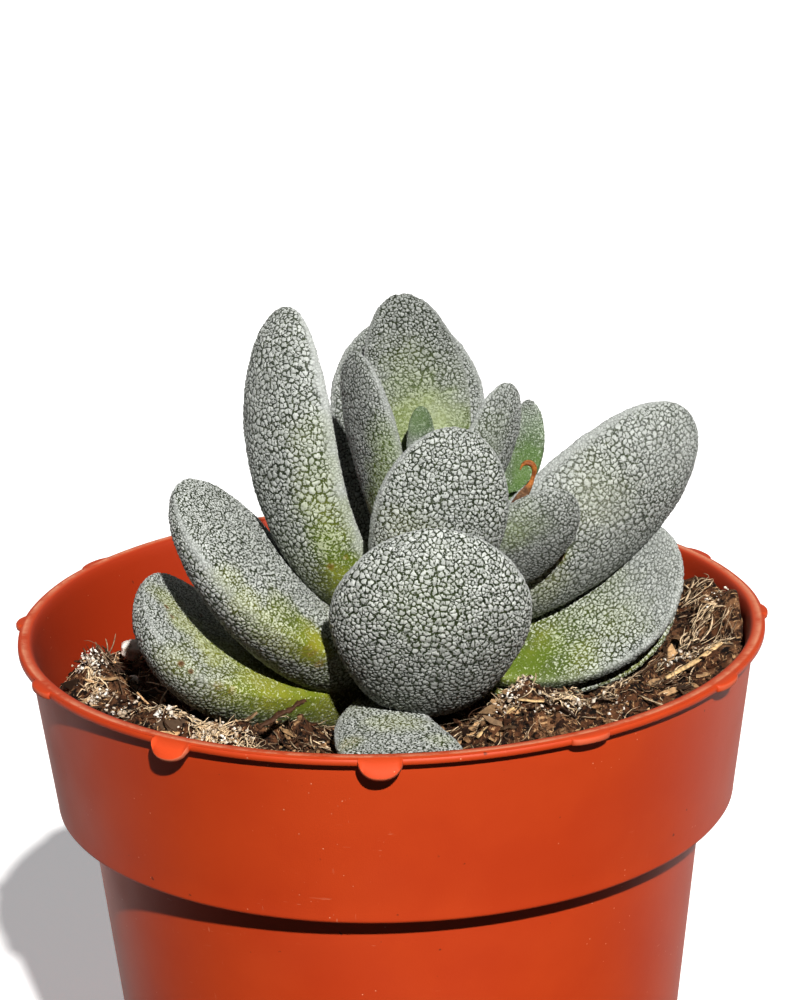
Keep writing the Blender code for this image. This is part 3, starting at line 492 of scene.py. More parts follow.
def grow_plates(name, rng):
    """Divides a leaf's skin into irregular plates: a Voronoi pattern on the surface itself."""
    size_out, size_in, green_to, bare, yellow, margin = BLOOM[name]
    smallest = min(size_out, size_in)
    G = leaf_grid(name, max(SAMPLE * COARSE, 0.24 * smallest))
    n, m = G["pos"].shape[:2]
    pos = np.concatenate([G["pos"].reshape(-1, 3), [G["pos"][-1].mean(0)], [G["pos"][0].mean(0)]])
    axis = unit(G["P"][-1] - G["P"][-2])
    root_axis = unit(G["P"][0] - G["P"][1])
    nor = np.concatenate([G["nor"].reshape(-1, 3), [axis], [root_axis]])
    t = np.concatenate([np.repeat(G["t"], m), [1.0], [G["t"][0]]])
    x = np.concatenate([np.tile(G["x"], n), [0.0], [0.0]])
    y = np.concatenate([np.tile(G["y"], n), [0.0], [0.0]])
    arc = np.concatenate([np.tile(G["arc"], n), [0.25], [0.25]])
    i, j = np.meshgrid(np.arange(n - 1), np.arange(m), indexing="ij")
    a = (i * m + j).ravel()
    b = (i * m + (j + 1) % m).ravel()
    c = ((i + 1) * m + (j + 1) % m).ravel()
    d = ((i + 1) * m + j).ravel()
    k = np.arange(m)
    top, bot = n * m, n * m + 1
    tri = np.concatenate([
        np.stack([a, b, c], 1), np.stack([a, c, d], 1),
        np.stack([(n - 1) * m + k, (n - 1) * m + (k + 1) % m, np.full(m, top)], 1),
        np.stack([(k + 1) % m, k, np.full(m, bot)], 1)])
    e1, e2 = pos[tri[:, 1]] - pos[tri[:, 0]], pos[tri[:, 2]] - pos[tri[:, 0]]
    cr = np.cross(e1, e2)
    if (cr * nor[tri[:, 0]]).sum() < 0:
        tri = tri[:, ::-1]
    area3 = np.linalg.norm(cr, axis=1) / 6
    area = np.bincount(tri.ravel(), np.repeat(area3, 3), len(pos))

    # plate size over the leaf: finer toward margins and tip, coarse where the leaf is hidden
    u = np.clip(t, 0, 1)
    size = np.where(y > 0, size_in, size_out)
    size = size * (1 - 0.34 * smoothstep(1.2, 0.3, margin_gap(name, t, x, y))) * (1 - 0.12 * smoothstep(0.85, 1.0, u))
    size = size * (1 + 1.3 * smoothstep(0.16, 0.0, t)) * COARSE
    away = (nor * unit(VIEW_FROM - pos)).sum(1)
    size = size * (1 + 0.16 * smoothstep(0.15, -0.15, away)) * (1 + 0.10 * (name in ("leaf_back_outer", "leaf_back_low")))
    want = area / (0.80 * size ** 2)
    count = int(want.sum())
    prob = want / want.sum()
    seeds = pos[rng.choice(len(pos), count, replace=False, p=prob)]

    def nearest(points):
        tree = kdtree.KDTree(len(points))
        for q, p in enumerate(points):
            tree.insert(p, q)
        tree.balance()
        find = tree.find
        return np.fromiter((find(p)[1] for p in pos.tolist()), np.int64, len(pos))

    weight = want + 1e-9
    for _ in range(1):
        lab = nearest(seeds.tolist())
        ww = np.bincount(lab, weight, len(seeds))
        cen = np.stack([np.bincount(lab, weight * pos[:, q], len(seeds)) for q in range(3)], 1)
        keep = ww > 0
        seeds = seeds[keep] * 0.45 + 0.55 * cen[keep] / ww[keep, None]
    fans = None
    for attempt in range(6):
        lab = nearest(seeds.tolist())
        L = lab[tri]
        three = (L[:, 0] != L[:, 1]) & (L[:, 1] != L[:, 2]) & (L[:, 0] != L[:, 2])
        T, L = tri[three], L[three]
        # the same three plates met twice with opposite turn cancel out
        key = {}
        for q, (p0, p1, p2) in enumerate(L.tolist()):
            r = (p0, p1, p2)
            lo = min(r)
            at = r.index(lo)
            r = r[at:] + r[:at]
            mirror = (r[0], r[2], r[1])
            if key.get(mirror):
                key[mirror].pop()
            else:
                key.setdefault(r, []).append(q)
        use = [(r, qs[0]) for r, qs in key.items() if qs]
        step = [dict() for _ in range(len(seeds))]
        bad = set()
        for r, q in use:
            for z in range(3):
                s0, s1, s2 = r[z], r[(z + 1) % 3], r[(z + 2) % 3]
                if s1 in step[s0]:
                    bad.add(s0)
                step[s0][s1] = (s2, q)
        fans = []
        for s0, nxt in enumerate(step):
            if len(nxt) < 3:
                bad.add(s0)
                fans.append(None)
                continue
            start = cur = next(iter(nxt))
            ring = []
            for _ in range(len(nxt)):
                if cur not in nxt:
                    bad.add(s0)
                    break
                cur, q = nxt[cur]
                ring.append(q)
            if cur != start or len(ring) != len(nxt):
                bad.add(s0)
            fans.append(ring)
        if not bad:
            break
        ok = np.ones(len(seeds), bool)
        ok[list(bad)] = False
        seeds = seeds[ok]
    used = sorted({q for _, q in use})
    index = {q: z for z, q in enumerate(used)}
    corner = T[used]
    return dict(G=G, pos=pos, nor=nor, t=t, x=x, y=y, arc=arc, seeds=seeds, lab=lab, fans=fans,
                index=index, corner=corner, bad=len(bad))


def build_leaf(name, mat, seed):
    rng = np.random.default_rng(seed)
    D = grow_plates(name, rng)
    size_out, size_in, green_to, bare, yellow, margin = BLOOM[name]
    spec = LEAVES[name]
    # nearest skin point to every seed
    tree = kdtree.KDTree(len(D["pos"]))
    for q, p in enumerate(D["pos"].tolist()):
        tree.insert(p, q)
    tree.balance()
    home = np.array([tree.find(p)[1] for p in D["seeds"].tolist()])

    def skin(idx):
        """Everything known at fine points, or at the middle of three of them."""
        p, nn, tt = D["pos"][idx], D["nor"][idx], D["t"][idx]
        xx, yy, aa = D["x"][idx], D["y"][idx], D["arc"][idx]
        if idx.ndim == 2:
            near = aa[:, :1]
            aa = aa + np.round(near - aa)
            return p.mean(1), unit(nn.mean(1)), tt.mean(1), xx.mean(1), yy.mean(1), aa.mean(1) % 1.0
        return p, nn, tt, xx, yy, aa

    Vp, Vn, Vt, Vx, Vy, Va = skin(D["corner"])
    Cp, Cn, Ct, Cx, Cy, Ca = skin(home)
    nv, nc = len(Vp), len(Cp)
    cell, corn, ring_start = [], [], []
    for s0, ring in enumerate(D["fans"]):
        ring_start.append(len(cell))
        for q in ring or ():
            cell.append(s0)
            corn.append(D["index"][q])
    cell, corn = np.array(cell), np.array(corn)
    # plates that face away from the photograph's side have no inner ring of their own
    toward = unit(VIEW_FROM - Cp)
    full = ((Cn * toward).sum(1) > 0.10) & (Ct > 0.05)
    ringed = full[cell]
    own = np.cumsum(ringed) - 1
    all_cell, all_corn = cell, corn
    cell, corn = cell[ringed], corn[ringed]
    inset = (0.60 + 0.10 * rng.random(nc))[cell][:, None]
    Rp = Cp[cell] * (1 - inset) + Vp[corn] * inset
    Rn = unit(Cn[cell] * (1 - inset) + Vn[corn] * inset)
    f1 = inset[:, 0]
    Rt = Ct[cell] * (1 - f1) + Vt[corn] * f1
    Rx = Cx[cell] * (1 - f1) + Vx[corn] * f1
    Ry = Cy[cell] * (1 - f1) + Vy[corn] * f1
    shift = Va[corn] + np.round(Ca[cell] - Va[corn])
    Ra = Ca[cell] * (1 - f1) + shift * f1

    base = np.concatenate([Vp, Cp, Rp])
    nor = np.concatenate([Vn, Cn, Rn])
    t = np.concatenate([Vt, Ct, Rt])
    x = np.concatenate([Vx, Cx, Rx])
    y = np.concatenate([Vy, Cy, Ry])
    arc = np.concatenate([Va, Ca, Ra]) % 1.0
    plate = np.concatenate([np.zeros(nv), np.where(full, 1.0, 1.4), np.full(len(Rp), 0.55)])
    tone_c = rng.random(nc)
    who = np.concatenate([np.zeros(nv, int), np.arange(nc), cell])
    tone = np.where(plate > 0, tone_c[who], 0.5)

    u = np.clip(t, 0, 1)
    wob = fractal(base, 0.22, 2, seed * 0.37)
    wob2 = fractal(base, 0.75, 2, seed * 0.61 + 3)
    # the bloom is thin toward the root
    bloom = smoothstep(-0.02, green_to, u + 0.07 * wob)
    cover = bare + (1 - bare) * bloom
    flesh = yellow * (1 - smoothstep(0.0, green_to * 1.15, u + 0.08 * wob))
    edge = smoothstep(0.95, 0.20, margin_gap(name, t, x, y) * (1 + 0.25 * wob2) / MARGIN_WIDTH.get(name, 1.0))
    soft, soft_tip = SOFT.get(name, (0.0, 0.0))
    frost = np.maximum(margin * edge, (soft + soft_tip * smoothstep(0.55, 0.9, u)) * (1 + 0.3 * wob))
    frost = np.clip(frost, 0, 1) * smoothstep(0.05, 0.4, bloom)
    cover, flesh, scar = look(name, base, wob, wob2, cover, flesh)
    frost = frost * (1 - 0.75 * flesh * (edge > 0.2) * (1 - FRESH.get(name, 0.0)))

    deep = 0.075 * (1 - 0.35 * smoothstep(0.5, 1.0, flesh))
    depth = deep * (1 - 0.75 * frost) * (0.35 + 0.65 * cover)
    thin = np.interp(u, [0.25, 0.85], THIN.get(name, (1.0, 1.0)))
    # faces that turn downward are darkened too: painted shade on the leaf's underside, carried in thin
    thin = thin * (1 - 0.42 * smoothstep(0.05, -0.75, nor[:, 2]) * smoothstep(0.05, 0.25, u))
    lift = np.concatenate([np.zeros(nv), 0.012 * rng.standard_normal(nc), 0.012 * rng.standard_normal(len(Rp))])
    h = np.where(plate > 1.2, 0.018, np.where(plate > 0.9, 0.022 * (1 - 0.6 * frost), np.where(plate > 0.3, -0.002, -depth))) + lift * (1 - 0.7 * frost)
    out = base + nor * (h + 0.05 * wob2 * smoothstep(0, 0.2, u))[:, None]

    loops, starts = [], []
    o_c, o_r = nv, nv + nc
    ends = ring_start[1:] + [len(all_cell)]
    for s0, (lo, hi) in enumerate(zip(ring_start, ends)):
        for q in range(lo, hi):
            r = q + 1 if q + 1 < hi else lo
            starts.append(len(loops))
            if not full[s0]:
                loops += (o_c + s0, int(all_corn[q]), int(all_corn[r]))
                continue
            oq, orr = o_r + int(own[q]), o_r + int(own[r])
            loops += (o_c + s0, oq, orr)
            starts.append(len(loops))
            loops += (oq, int(all_corn[q]), int(all_corn[r]), orr)
    ob = poly_piece(name + "_skin", out, loops, starts, mat)
    for k, v in (("plate", plate), ("cover", cover), ("frost", frost), ("tone", tone), ("flesh", flesh),
                 ("scar", scar), ("thin", thin), ("fresh", np.full(len(out), FRESH.get(name, 0.0)))):
        point_value(ob, k, v)
    leaf_map(ob, D, t, arc, y)
    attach(ob, "root")
    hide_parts(name)
    return ob, D["bad"]


def leaf_map(ob, D, t, arc, y):
    """Lays the outer and the inner face out side by side, near their true proportions."""
    me = ob.data
    G = D["G"]
    step = np.linalg.norm(np.diff(G["P"], axis=0), axis=1)
    step = np.hypot(step, np.diff(G["w"]))
    s = np.concatenate([[0], np.cumsum(step)])
    along = np.interp(t, G["t"], s)
    local = np.interp(t, G["t"], G["w"]) / G["w"].max() * 0.9 + 0.1
    girth = G["girth"]
    vid = np.empty(len(me.loops), np.int32)
    me.loops.foreach_get("vertex_index", vid)
    tot = np.empty(len(me.polygons), np.int32)
    me.polygons.foreach_get("loop_total", tot)
    first = np.empty(len(me.polygons), np.int32)
    me.polygons.foreach_get("loop_start", first)
    face_y = np.add.reduceat(y[vid], first) / tot
    inner = np.repeat(face_y > 0, tot)
    # arc 0.25-ish is the inner midline, 0.75-ish the outer one
    mid_in = np.interp(math.pi / 2, np.unwrap(np.arctan2(G["y"], G["x"])), G["arc"])
    mid_out = np.interp(3 * math.pi / 2, np.unwrap(np.arctan2(G["y"], G["x"])), G["arc"])
    g = arc[vid] - np.where(inner, mid_in, mid_out)
    g = (g - np.round(g)) * girth * local[vid]
    width_in = girth * 0.56
    width_out = girth * 0.62
    total = width_in + width_out
    uu = np.where(inner, width_in / 2, width_in + width_out / 2) + g
    uv = np.stack([uu / total, (along[vid] + 0.5) / (s[-1] + 1.0)], 1)
    layer = me.uv_layers.new(name="OFBake")
    layer.data.foreach_set("uv", np.clip(uv, 0.001, 0.999).astype(np.float32).ravel())


def look(name, pos, wob, wob2, cover, flesh):
    """What only one leaf shows: greener places, places rubbed bare, brown scars."""
    scar = np.zeros(len(pos))
    for t, x, side, radius, green, change, brown in MARKS.get(name, ()):
        P, S, N, w, ain, aout, _ = leaf_frame(LEAVES[name], np.array([t]))
        y = side * (1 - abs(x) ** SECTION_POWER) ** (1 / SECTION_POWER)
        at = P[0] + S[0] * x * w[0] + N[0] * y * (ain[0] if side > 0 else aout[0])
        d = np.linalg.norm(pos - at, axis=1) * (1 + 0.35 * wob2 + 0.15 * wob)
        near = smoothstep(1.45, 0.25, d / radius)
        flesh = np.maximum(flesh, green * near) + 0.25 * np.minimum(flesh, green * near)
        cover = cover + change * near
        scar = np.maximum(scar, brown * smoothstep(1.3, 0.5, d / radius))
    return np.clip(cover, 0.04, 1), np.clip(flesh, 0, 1), scar


# ---------------------------------------------------------------- camera and light
RIGHT = Vector((0.99955619, -0.01272408, -0.02693545))
DOWN = Vector((-0.02951827, -0.30129337, -0.95307448))
AHEAD = Vector((0.00401152, 0.95344659, -0.30153525))
cam = bpy.data.cameras.new("camera")
cam.sensor_fit = 'VERTICAL'
cam.sensor_height = 36.0
cam.lens = 114.62
cam.clip_start = 0.005
cam.clip_end = 20.0
cam_ob = link(bpy.data.objects.new("camera", cam))
rot = Matrix((RIGHT, -DOWN, -AHEAD)).transposed()
cam_ob.matrix_world = Matrix.Translation((0.0, -0.225162, 0.129442)) @ rot.to_4x4()
bpy.context.scene.camera = cam_ob


def area_light(name, azimuth, elevation, distance, size, power, colour=(1, 1, 1)):
    a, e = math.radians(azimuth), math.radians(elevation)
    d = Vector((math.sin(a) * math.cos(e), -math.cos(a) * math.cos(e), math.sin(e)))
    lamp = bpy.data.lights.new(name, 'AREA')
    lamp.shape = 'DISK'
    lamp.size = size
    lamp.energy = power
    lamp.color = colour
    ob = link(bpy.data.objects.new(name, lamp))
    ob.location = d * distance + Vector((0, 0, 0.045))
    ob.rotation_euler = d.to_track_quat('Z', 'Y').to_euler()
    return ob


key = bpy.data.lights.new("key", 'SUN')
key.energy = 5.6
key.angle = math.radians(1.6)
key.color = (1.0, 0.985, 0.96)
key_ob = link(bpy.data.objects.new("key", key))
_a, _e = math.radians(11), math.radians(38.6)
key_ob.rotation_euler = Vector((math.sin(_a) * math.cos(_e), -math.cos(_a) * math.cos(_e), math.sin(_e))).to_track_quat('Z', 'Y').to_euler()
world = bpy.data.worlds.new("world")
bpy.context.scene.world = world
world.use_nodes = True
wt = world.node_tree
bg = wt.nodes["Background"]
bg.inputs["Strength"].default_value = 1.0
w_dir = wt.nodes.new("ShaderNodeTexCoord")
w_dot = wt.nodes.new("ShaderNodeVectorMath")
w_dot.operation = 'DOT_PRODUCT'
w_dot.inputs[1].default_value = (-0.10, 0.80, 0.59)
wt.links.new(w_dir.outputs["Generated"], w_dot.inputs[0])
w_ramp = wt.nodes.new("ShaderNodeMapRange")
w_ramp.interpolation_type = 'SMOOTHSTEP'
for k, v in (("From Min", -0.45), ("From Max", 0.95), ("To Min", 0.008), ("To Max", 0.125)):
    w_ramp.inputs[k].default_value = v
wt.links.new(w_dot.outputs["Value"], w_ramp.inputs["Value"])
# the pale studio wall behind
w_back = wt.nodes.new("ShaderNodeVectorMath")
w_back.operation = 'DOT_PRODUCT'
w_back.inputs[1].default_value = (0.0, 0.985, 0.17)
wt.links.new(w_dir.outputs["Generated"], w_back.inputs[0])
w_wall = wt.nodes.new("ShaderNodeMapRange")
w_wall.interpolation_type = 'SMOOTHSTEP'
for k, v in (("From Min", 0.45), ("From Max", 1.0), ("To Min", 0.0), ("To Max", 0.34)):
    w_wall.inputs[k].default_value = v
wt.links.new(w_back.outputs["Value"], w_wall.inputs["Value"])
w_sum = wt.nodes.new("ShaderNodeMath")
w_sum.operation = 'ADD'
wt.links.new(w_ramp.outputs[0], w_sum.inputs[0])
wt.links.new(w_wall.outputs[0], w_sum.inputs[1])
w_col = wt.nodes.new("ShaderNodeCombineColor")
for k in range(3):
    wt.links.new(w_sum.outputs[0], w_col.inputs[k])
wt.links.new(w_col.outputs[0], bg.inputs["Color"])
bpy.context.scene.view_settings.view_transform = 'Standard'
bpy.context.scene.view_settings.gamma = 0.88

# ---------------------------------------------------------------- build
skin = leaf_material("leaf_skin")
faults = {}
total = 0
for number, name in enumerate(LEAVES):
    ob, bad = build_leaf(name, skin, number + 1)
    total += sum(len(p.vertices) - 2 for p in ob.data.polygons)
    if bad:
        faults[name] = bad
print("leaf triangles", total, "unclean plates", faults)

# ---------------------------------------------------------------- soil
HEAPS = (      # x, y, radius, height of a heap or (negative) hollow, mm
    (-22.6, 1.5, 3.2, 2.9), (-21.5, 9.5, 3.0, 0.9), (-21.0, -5.0, 4.0, 1.7), (-16.3, -9.8, 3.6, 1.3), (-11.8, -12.5, 3.6, 1.0),
    (-6.6, -9.8, 2.6, 1.5), (9.2, -9.8, 2.7, 2.9), (8.0, -13.6, 3.0, 1.6), (12.6, -13.2, 3.4, 1.5), (17.0, -11.0, 3.6, 1.0),
    (21.5, -5.0, 3.0, 0.7), (24.6, 3.6, 3.0, 1.3), (23.8, 10.0, 3.6, 1.5), (1.0, 21.0, 4.5, 1.2),
    (-10.0, 19.0, 4.0, 0.9), (13.0, 18.5, 4.5, 1.3), (-16.0, 15.0, 3.5, -0.7), (5.4, -8.0, 2.4, -1.2),
    (-9.5, -6.8, 2.4, -1.3), (-17.6, -1.0, 2.6, -1.2), (15.0, -6.4, 2.4, -0.9), (9.5, 13.0, 3.5, -0.8), (12.6, -8.8, 1.8, -0.9),
    (24.0, -1.4, 1.3, -0.9), (26.4, 1.5, 3.4, 2.6), (25.0, -6.5, 3.2, 1.8), (21.5, -12.5, 3.4, 1.2), (25.0, 7.5, 2.8, 1.2),
    (-19.4, -1.6, 1.7, -1.6), (-6.5, -14.5, 1.6, -0.8), (14.5, -9.8, 1.5, -0.8),
)


def inner_radius(z):
    foot = POT_HEIGHT - BAND_HEIGHT
    zs = [FLOOR, foot - 0.6, foot + 0.9, POT_HEIGHT - 0.3]
    rs = [BODY_FOOT_RADIUS - WALL, BODY_TOP_RADIUS - WALL, BAND_FOOT_RADIUS - WALL, RIM_RADIUS - LIP_WIDTH - 0.25]
    return np.interp(z, zs, rs)


def soil_base(x, y):
    r = np.hypot(x, y) / 26.0
    a = (np.degrees(np.arctan2(y, x)) % 360) / 45.0
    i = a.astype(int) % 8
    f = 0.5 - 0.5 * np.cos(math.pi * (a - np.floor(a)))
    lv = np.array(SOIL_WALL_LEVELS)
    wall = lv[i] * (1 - f) + lv[(i + 1) % 8] * f
    k = np.minimum(r, 1) ** 1.6
    z = SOIL_CENTRE_LEVEL * (1 - k) + wall * k
    for hx, hy, hr, hh in HEAPS:
        d2 = ((x - hx) ** 2 + (y - hy) ** 2) / hr ** 2
        z = z + hh * np.exp(-1.6 * d2)
    return z + POT_HEIGHT


def leaf_undersides():
    pts = []
    for name, spec in LEAVES.items():
        t = np.linspace(-1, 1, 44)
        P, S, N, w, ain, aout, stub = leaf_frame(spec, t)
        ph = np.linspace(0, 2 * math.pi, 40)
        x, y = section_xy(ph)
        pos = (P[:, None] + S[:, None] * (x[None, :, None] * w[:, None, None])
               + N[:, None] * (y[None, :] * np.where(y[None, :] > 0, ain[:, None], aout[:, None]))[:, :, None])
        pos = pos.reshape(-1, 3)
        pts.append(pos[pos[:, 2] < POT_HEIGHT + 3])
    return np.concatenate(pts)


UNDER = leaf_undersides()
UNDER_TREE = kdtree.KDTree(len(UNDER))
for q, p in enumerate(UNDER.tolist()):
    UNDER_TREE.insert(p, q)
UNDER_TREE.balance()
LOW = UNDER[UNDER[:, 2] < POT_HEIGHT + 0.5]


def pressed(x, y, z):
    """Soil sinks below whatever leaf lies low over it."""
    out = z.copy()
    for k in range(0, len(x), 1500):
        d = np.hypot(x[k:k + 1500, None] - LOW[None, :, 0], y[k:k + 1500, None] - LOW[None, :, 1])
        cap = LOW[None, :, 2] - 0.30 + 0.45 * np.maximum(0, d - 1.0)
        cap = np.where(d < 2.4, cap, 1e3)
        out[k:k + 1500] = np.minimum(out[k:k + 1500], cap.min(1))
    return out


def rough_ground(x, y):
    z = soil_base(x, y)
    pts = np.stack([x, y, np.zeros_like(x)], 1)
    lump = fractal(pts, 0.42, 3, 1.7)
    grain = fractal(pts, 1.5, 3, 4.1)
    ridged = 1 - np.abs(fractal(pts, 0.9, 2, 9.0))
    calm = 1 - 0.75 * smoothstep(22.8, 25.2, np.hypot(x, y))
    return pressed(x, y, z + calm * (0.85 * lump + 0.62 * grain + 0.50 * (ridged - 0.7)))


def build_soil(mat):
    """A plug of soil; its top is rough, its sides follow the pot's wall."""
    rings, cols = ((112, 290))
    a = np.arange(cols) / cols * 2 * math.pi
    f = (np.arange(1, rings + 1) / rings) ** 0.85
    z_wall = soil_base(25.2 * np.cos(a), 25.2 * np.sin(a)) + 0.1
    r_wall = inner_radius(z_wall) - 0.12
    x = (f[:, None] * (r_wall * np.cos(a))[None]).ravel()
    y = (f[:, None] * (r_wall * np.sin(a))[None]).ravel()
    z = rough_ground(x, y).reshape(rings, cols)
    z[-1] = np.minimum(z[-1], POT_HEIGHT - 0.9)
    x, y = x.reshape(rings, cols), y.reshape(rings, cols)
    s = (inner_radius(z[-1]) - 0.12) / np.hypot(x[-1], y[-1])
    x[-1], y[-1] = x[-1] * s, y[-1] * s
    foot = POT_HEIGHT - BAND_HEIGHT
    lower = []
    for zz in (foot + 1.0, foot - 0.6, 24.0, 12.0, SOIL_FOOT):
        r = inner_radius(zz) - 0.12
        lower.append(np.stack([r * np.cos(a), r * np.sin(a), np.full(cols, zz)], 1))
    V = np.concatenate([np.stack([x, y, z], -1).reshape(-1, 3), *lower,
                        [[0, 0, float(rough_ground(np.array([0.01]), np.array([0.0]))[0])], [0, 0, SOIL_FOOT]]])
    n = rings + len(lower)
    faces = []
    for i in range(n - 1):
        for j in range(cols):
            k = (j + 1) % cols
            faces.append((i * cols + j, (i + 1) * cols + j, (i + 1) * cols + k, i * cols + k))
    c0, c1 = len(V) - 2, len(V) - 1
    for j in range(cols):
        k = (j + 1) % cols
        faces.append((c0, j, k))
        faces.append((c1, (n - 1) * cols + k, (n - 1) * cols + j))
    return mesh_piece("soil_peat", V, faces, mat), (x, y, z)


ICO = None


def ico():
    global ICO
    if ICO is None:
        bm = bmesh.new()
        bmesh.ops.create_icosphere(bm, subdivisions=1, radius=1.0)
        v = np.array([p.co[:] for p in bm.verts])
        f = [[q.index for q in p.verts] for p in bm.faces]
        bm2 = bmesh.new()
        bmesh.ops.create_icosphere(bm2, subdivisions=2, radius=1.0)
        v2 = np.array([p.co[:] for p in bm2.verts])
        f2 = [[q.index for q in p.verts] for p in bm2.faces]
        bm.free()
        bm2.free()
        ICO = ((v, f), (v2, f2))
    return ICO


def clear_of_leaves(p, gap):
    return UNDER_TREE.find(p)[2] > gap


def crumb_shape(rng, fine, centre, size, squash=0.7, angular=0.28):
    v, f = ico()[1 if fine else 0]
    k = 1 + angular * rng.standard_normal(len(v)).clip(-1.6, 1.6) * (0.6 if fine else 1.0)
    s = size * np.array([rng.uniform(0.7, 1.3), rng.uniform(0.6, 1.0), rng.uniform(0.5, 0.9) * squash])
    p = v * k[:, None] * s
    a = rng.uniform(0, 2 * math.pi, 3)
    R = Matrix.Rotation(a[0], 3, 'Z') @ Matrix.Rotation(0.6 * math.sin(a[1]), 3, 'X') @ Matrix.Rotation(0.6 * math.sin(a[2]), 3, 'Y')
    return p @ np.array(R).T + centre, f


def gather(parts):
    V, F, at, tone = [], [], 0, []
    for v, f, tn in parts:
        V.append(v)
        F += [tuple(i + at for i in q) for q in f]
        tone.append(np.full(len(v), tn))
        at += len(v)
    return np.concatenate(V), F, np.concatenate(tone)


def scatter_spot(rng, wall=25.3):
    r = wall * math.sqrt(rng.random())
    a = rng.uniform(0, 2 * math.pi)
    return r * math.cos(a), r * math.sin(a)


def ground_at(pts):
    pts = np.asarray(pts, float)
    return rough_ground(pts[:, 0], pts[:, 1])


def build_crumbs(mat, count, rng):
    spots = np.array([scatter_spot(rng, 25.0) for _ in range(count)])
    z = ground_at(spots)
    parts = []
    for (x, y), zz in zip(spots, z):
        size = 0.11 + 0.36 * rng.random() ** 2.4
        c = np.array([x, y, zz + size * rng.uniform(0.0, 0.7)])
        if not clear_of_leaves(c, size * 1.2) or math.hypot(x, y) + size > inner_radius(zz) - 0.15:
            continue
        v, f = crumb_shape(rng, False, c, size)
        parts.append((v, f, rng.random()))
    V, F, tone = gather(parts)
    ob = mesh_piece("soil_crumbs", V, F, mat, smooth=False)
    point_value(ob, "tone", tone)
    return ob


def build_chips(mat, count, rng):
    """Thin splinters of bark and husk, lying at all angles."""
    spots = np.array([scatter_spot(rng, 24.4) for _ in range(count)])
    z = ground_at(spots)
    parts = []
    for (x, y), zz in zip(spots, z):
        long = 0.28 + 1.25 * rng.random() ** 2.6
        wide = long * rng.uniform(0.16, 0.42)
        thin = 0.035 + 0.05 * rng.random()
        n = 5
        s = np.linspace(-1, 1, n)
        w = wide * np.sqrt(np.clip(1 - np.abs(s) ** rng.uniform(2.5, 7), 0, 1)) * (1 + 0.25 * rng.standard_normal(n)) + 0.02
        bend = rng.normal(0, 0.12) * long
        line = np.stack([s * long, rng.normal(0, 0.05, n) * long, bend * s * s], 1)
        V = np.concatenate([line + np.stack([0 * s, w, 0 * s + thin], 1), line + np.stack([0 * s, -w, 0 * s + thin], 1),
                            line + np.stack([0 * s, w, 0 * s - thin], 1), line + np.stack([0 * s, -w, 0 * s - thin], 1)])
        F = []
        for k in range(n - 1):
            a, b, c, d = k, n + k, 2 * n + k, 3 * n + k
            F += [(a, b, b + 1, a + 1), (c, c + 1, d + 1, d), (a, a + 1, c + 1, c), (b, d, d + 1, b + 1)]
        e = n - 1
        F += [(0, 2 * n, 3 * n, n), (e, n + e, 3 * n + e, 2 * n + e)]
        R = (Matrix.Rotation(rng.uniform(0, 2 * math.pi), 3, 'Z') @ Matrix.Rotation(rng.normal(0, 0.38), 3, 'Y')
             @ Matrix.Rotation(rng.normal(0, 0.6), 3, 'X'))
        V = V @ np.array(R).T + [x, y, zz + 0.12 + 0.25 * rng.random()]
        if np.hypot(V[:, 0], V[:, 1]).max() > inner_radius(zz) - 0.2:
            continue
        if not all(clear_of_leaves(q, 0.35) for q in V[::6]):
            continue
        parts.append((V, F, rng.random()))
    V, F, tone = gather(parts)
    ob = mesh_piece("soil_chips", V, F, mat, smooth=False)
    point_value(ob, "tone", tone)
    return ob


WHITE_PATCHES = (      # x, y, spread (mm), share
    (-22.6, 1.0, 1.1, 2.4), (-22.4, -3.4, 1.2, 2.6), (-20.5, -7.0, 1.6, 0.8), (-16.2, -9.2, 1.3, 1.2), (-13.4, -12.2, 1.4, 2.2),
    (-11.4, -14.4, 1.2, 1.6), (9.0, -9.8, 0.9, 1.5), (8.0, -12.4, 1.2, 1.0), (12.4, -12.8, 1.6, 2.4), (15.5, -12.6, 1.6, 0.9),
    (22.0, -3.4, 1.1, 1.0), (20.6, -5.2, 1.2, 0.5), (24.4, 2.4, 1.0, 0.4), (14.0, 19.0, 3.0, 0.8), (-6.0, 21.0, 3.0, 0.7),
    (-14.0, 14.0, 2.5, 0.5),
)


def build_white(mat, count, rng):
    """Perlite dust and grains, mostly in patches."""
    share = np.array([q[3] for q in WHITE_PATCHES])
    share = share / share.sum()
    spots = []
    for k in range(count):
        if rng.random() < 0.93:
            px, py, pr, _ = WHITE_PATCHES[rng.choice(len(share), p=share)]
            spots.append((px + 0.62 * pr * rng.standard_normal(), py + 0.62 * pr * rng.standard_normal()))
        else:
            spots.append(scatter_spot(rng))
    z = ground_at(spots)
    parts = []
    for (x, y), zz in zip(spots, z):
        size = 0.05 + 0.17 * rng.random() ** 2.6
        c = np.array([x, y, zz + size * 0.8 + 0.45 * rng.random() ** 1.5])
        if not clear_of_leaves(c, size * 1.5) or math.hypot(x, y) + size > inner_radius(zz) - 0.2:
            continue
        v, f = crumb_shape(rng, False, c, size, 1.0, 0.36)
        parts.append((v, f, rng.random()))
    for x, y, size in ((-20.0, 3.6, 0.70), (-14.4, -9.6, 0.34), (-15.2, -9.2, 0.26), (-7.4, -8.0, 0.24), (21.9, -3.0, 0.26), (21.0, -4.4, 0.2),
                       (10.6, -10.8, 0.2), (3.0, 20.5, 0.6), (-12.4, 17.2, 0.5)):
        zz = float(ground_at([(x, y)])[0])
        v, f = crumb_shape(rng, True, np.array([x, y, zz + size * 0.5]), size, 1.1, 0.14)
        parts.append((v, f, 0.9))
    V, F, tone = gather(parts)
    ob = mesh_piece("perlite_dust", V, F, mat)
    point_value(ob, "tone", tone)
    return ob


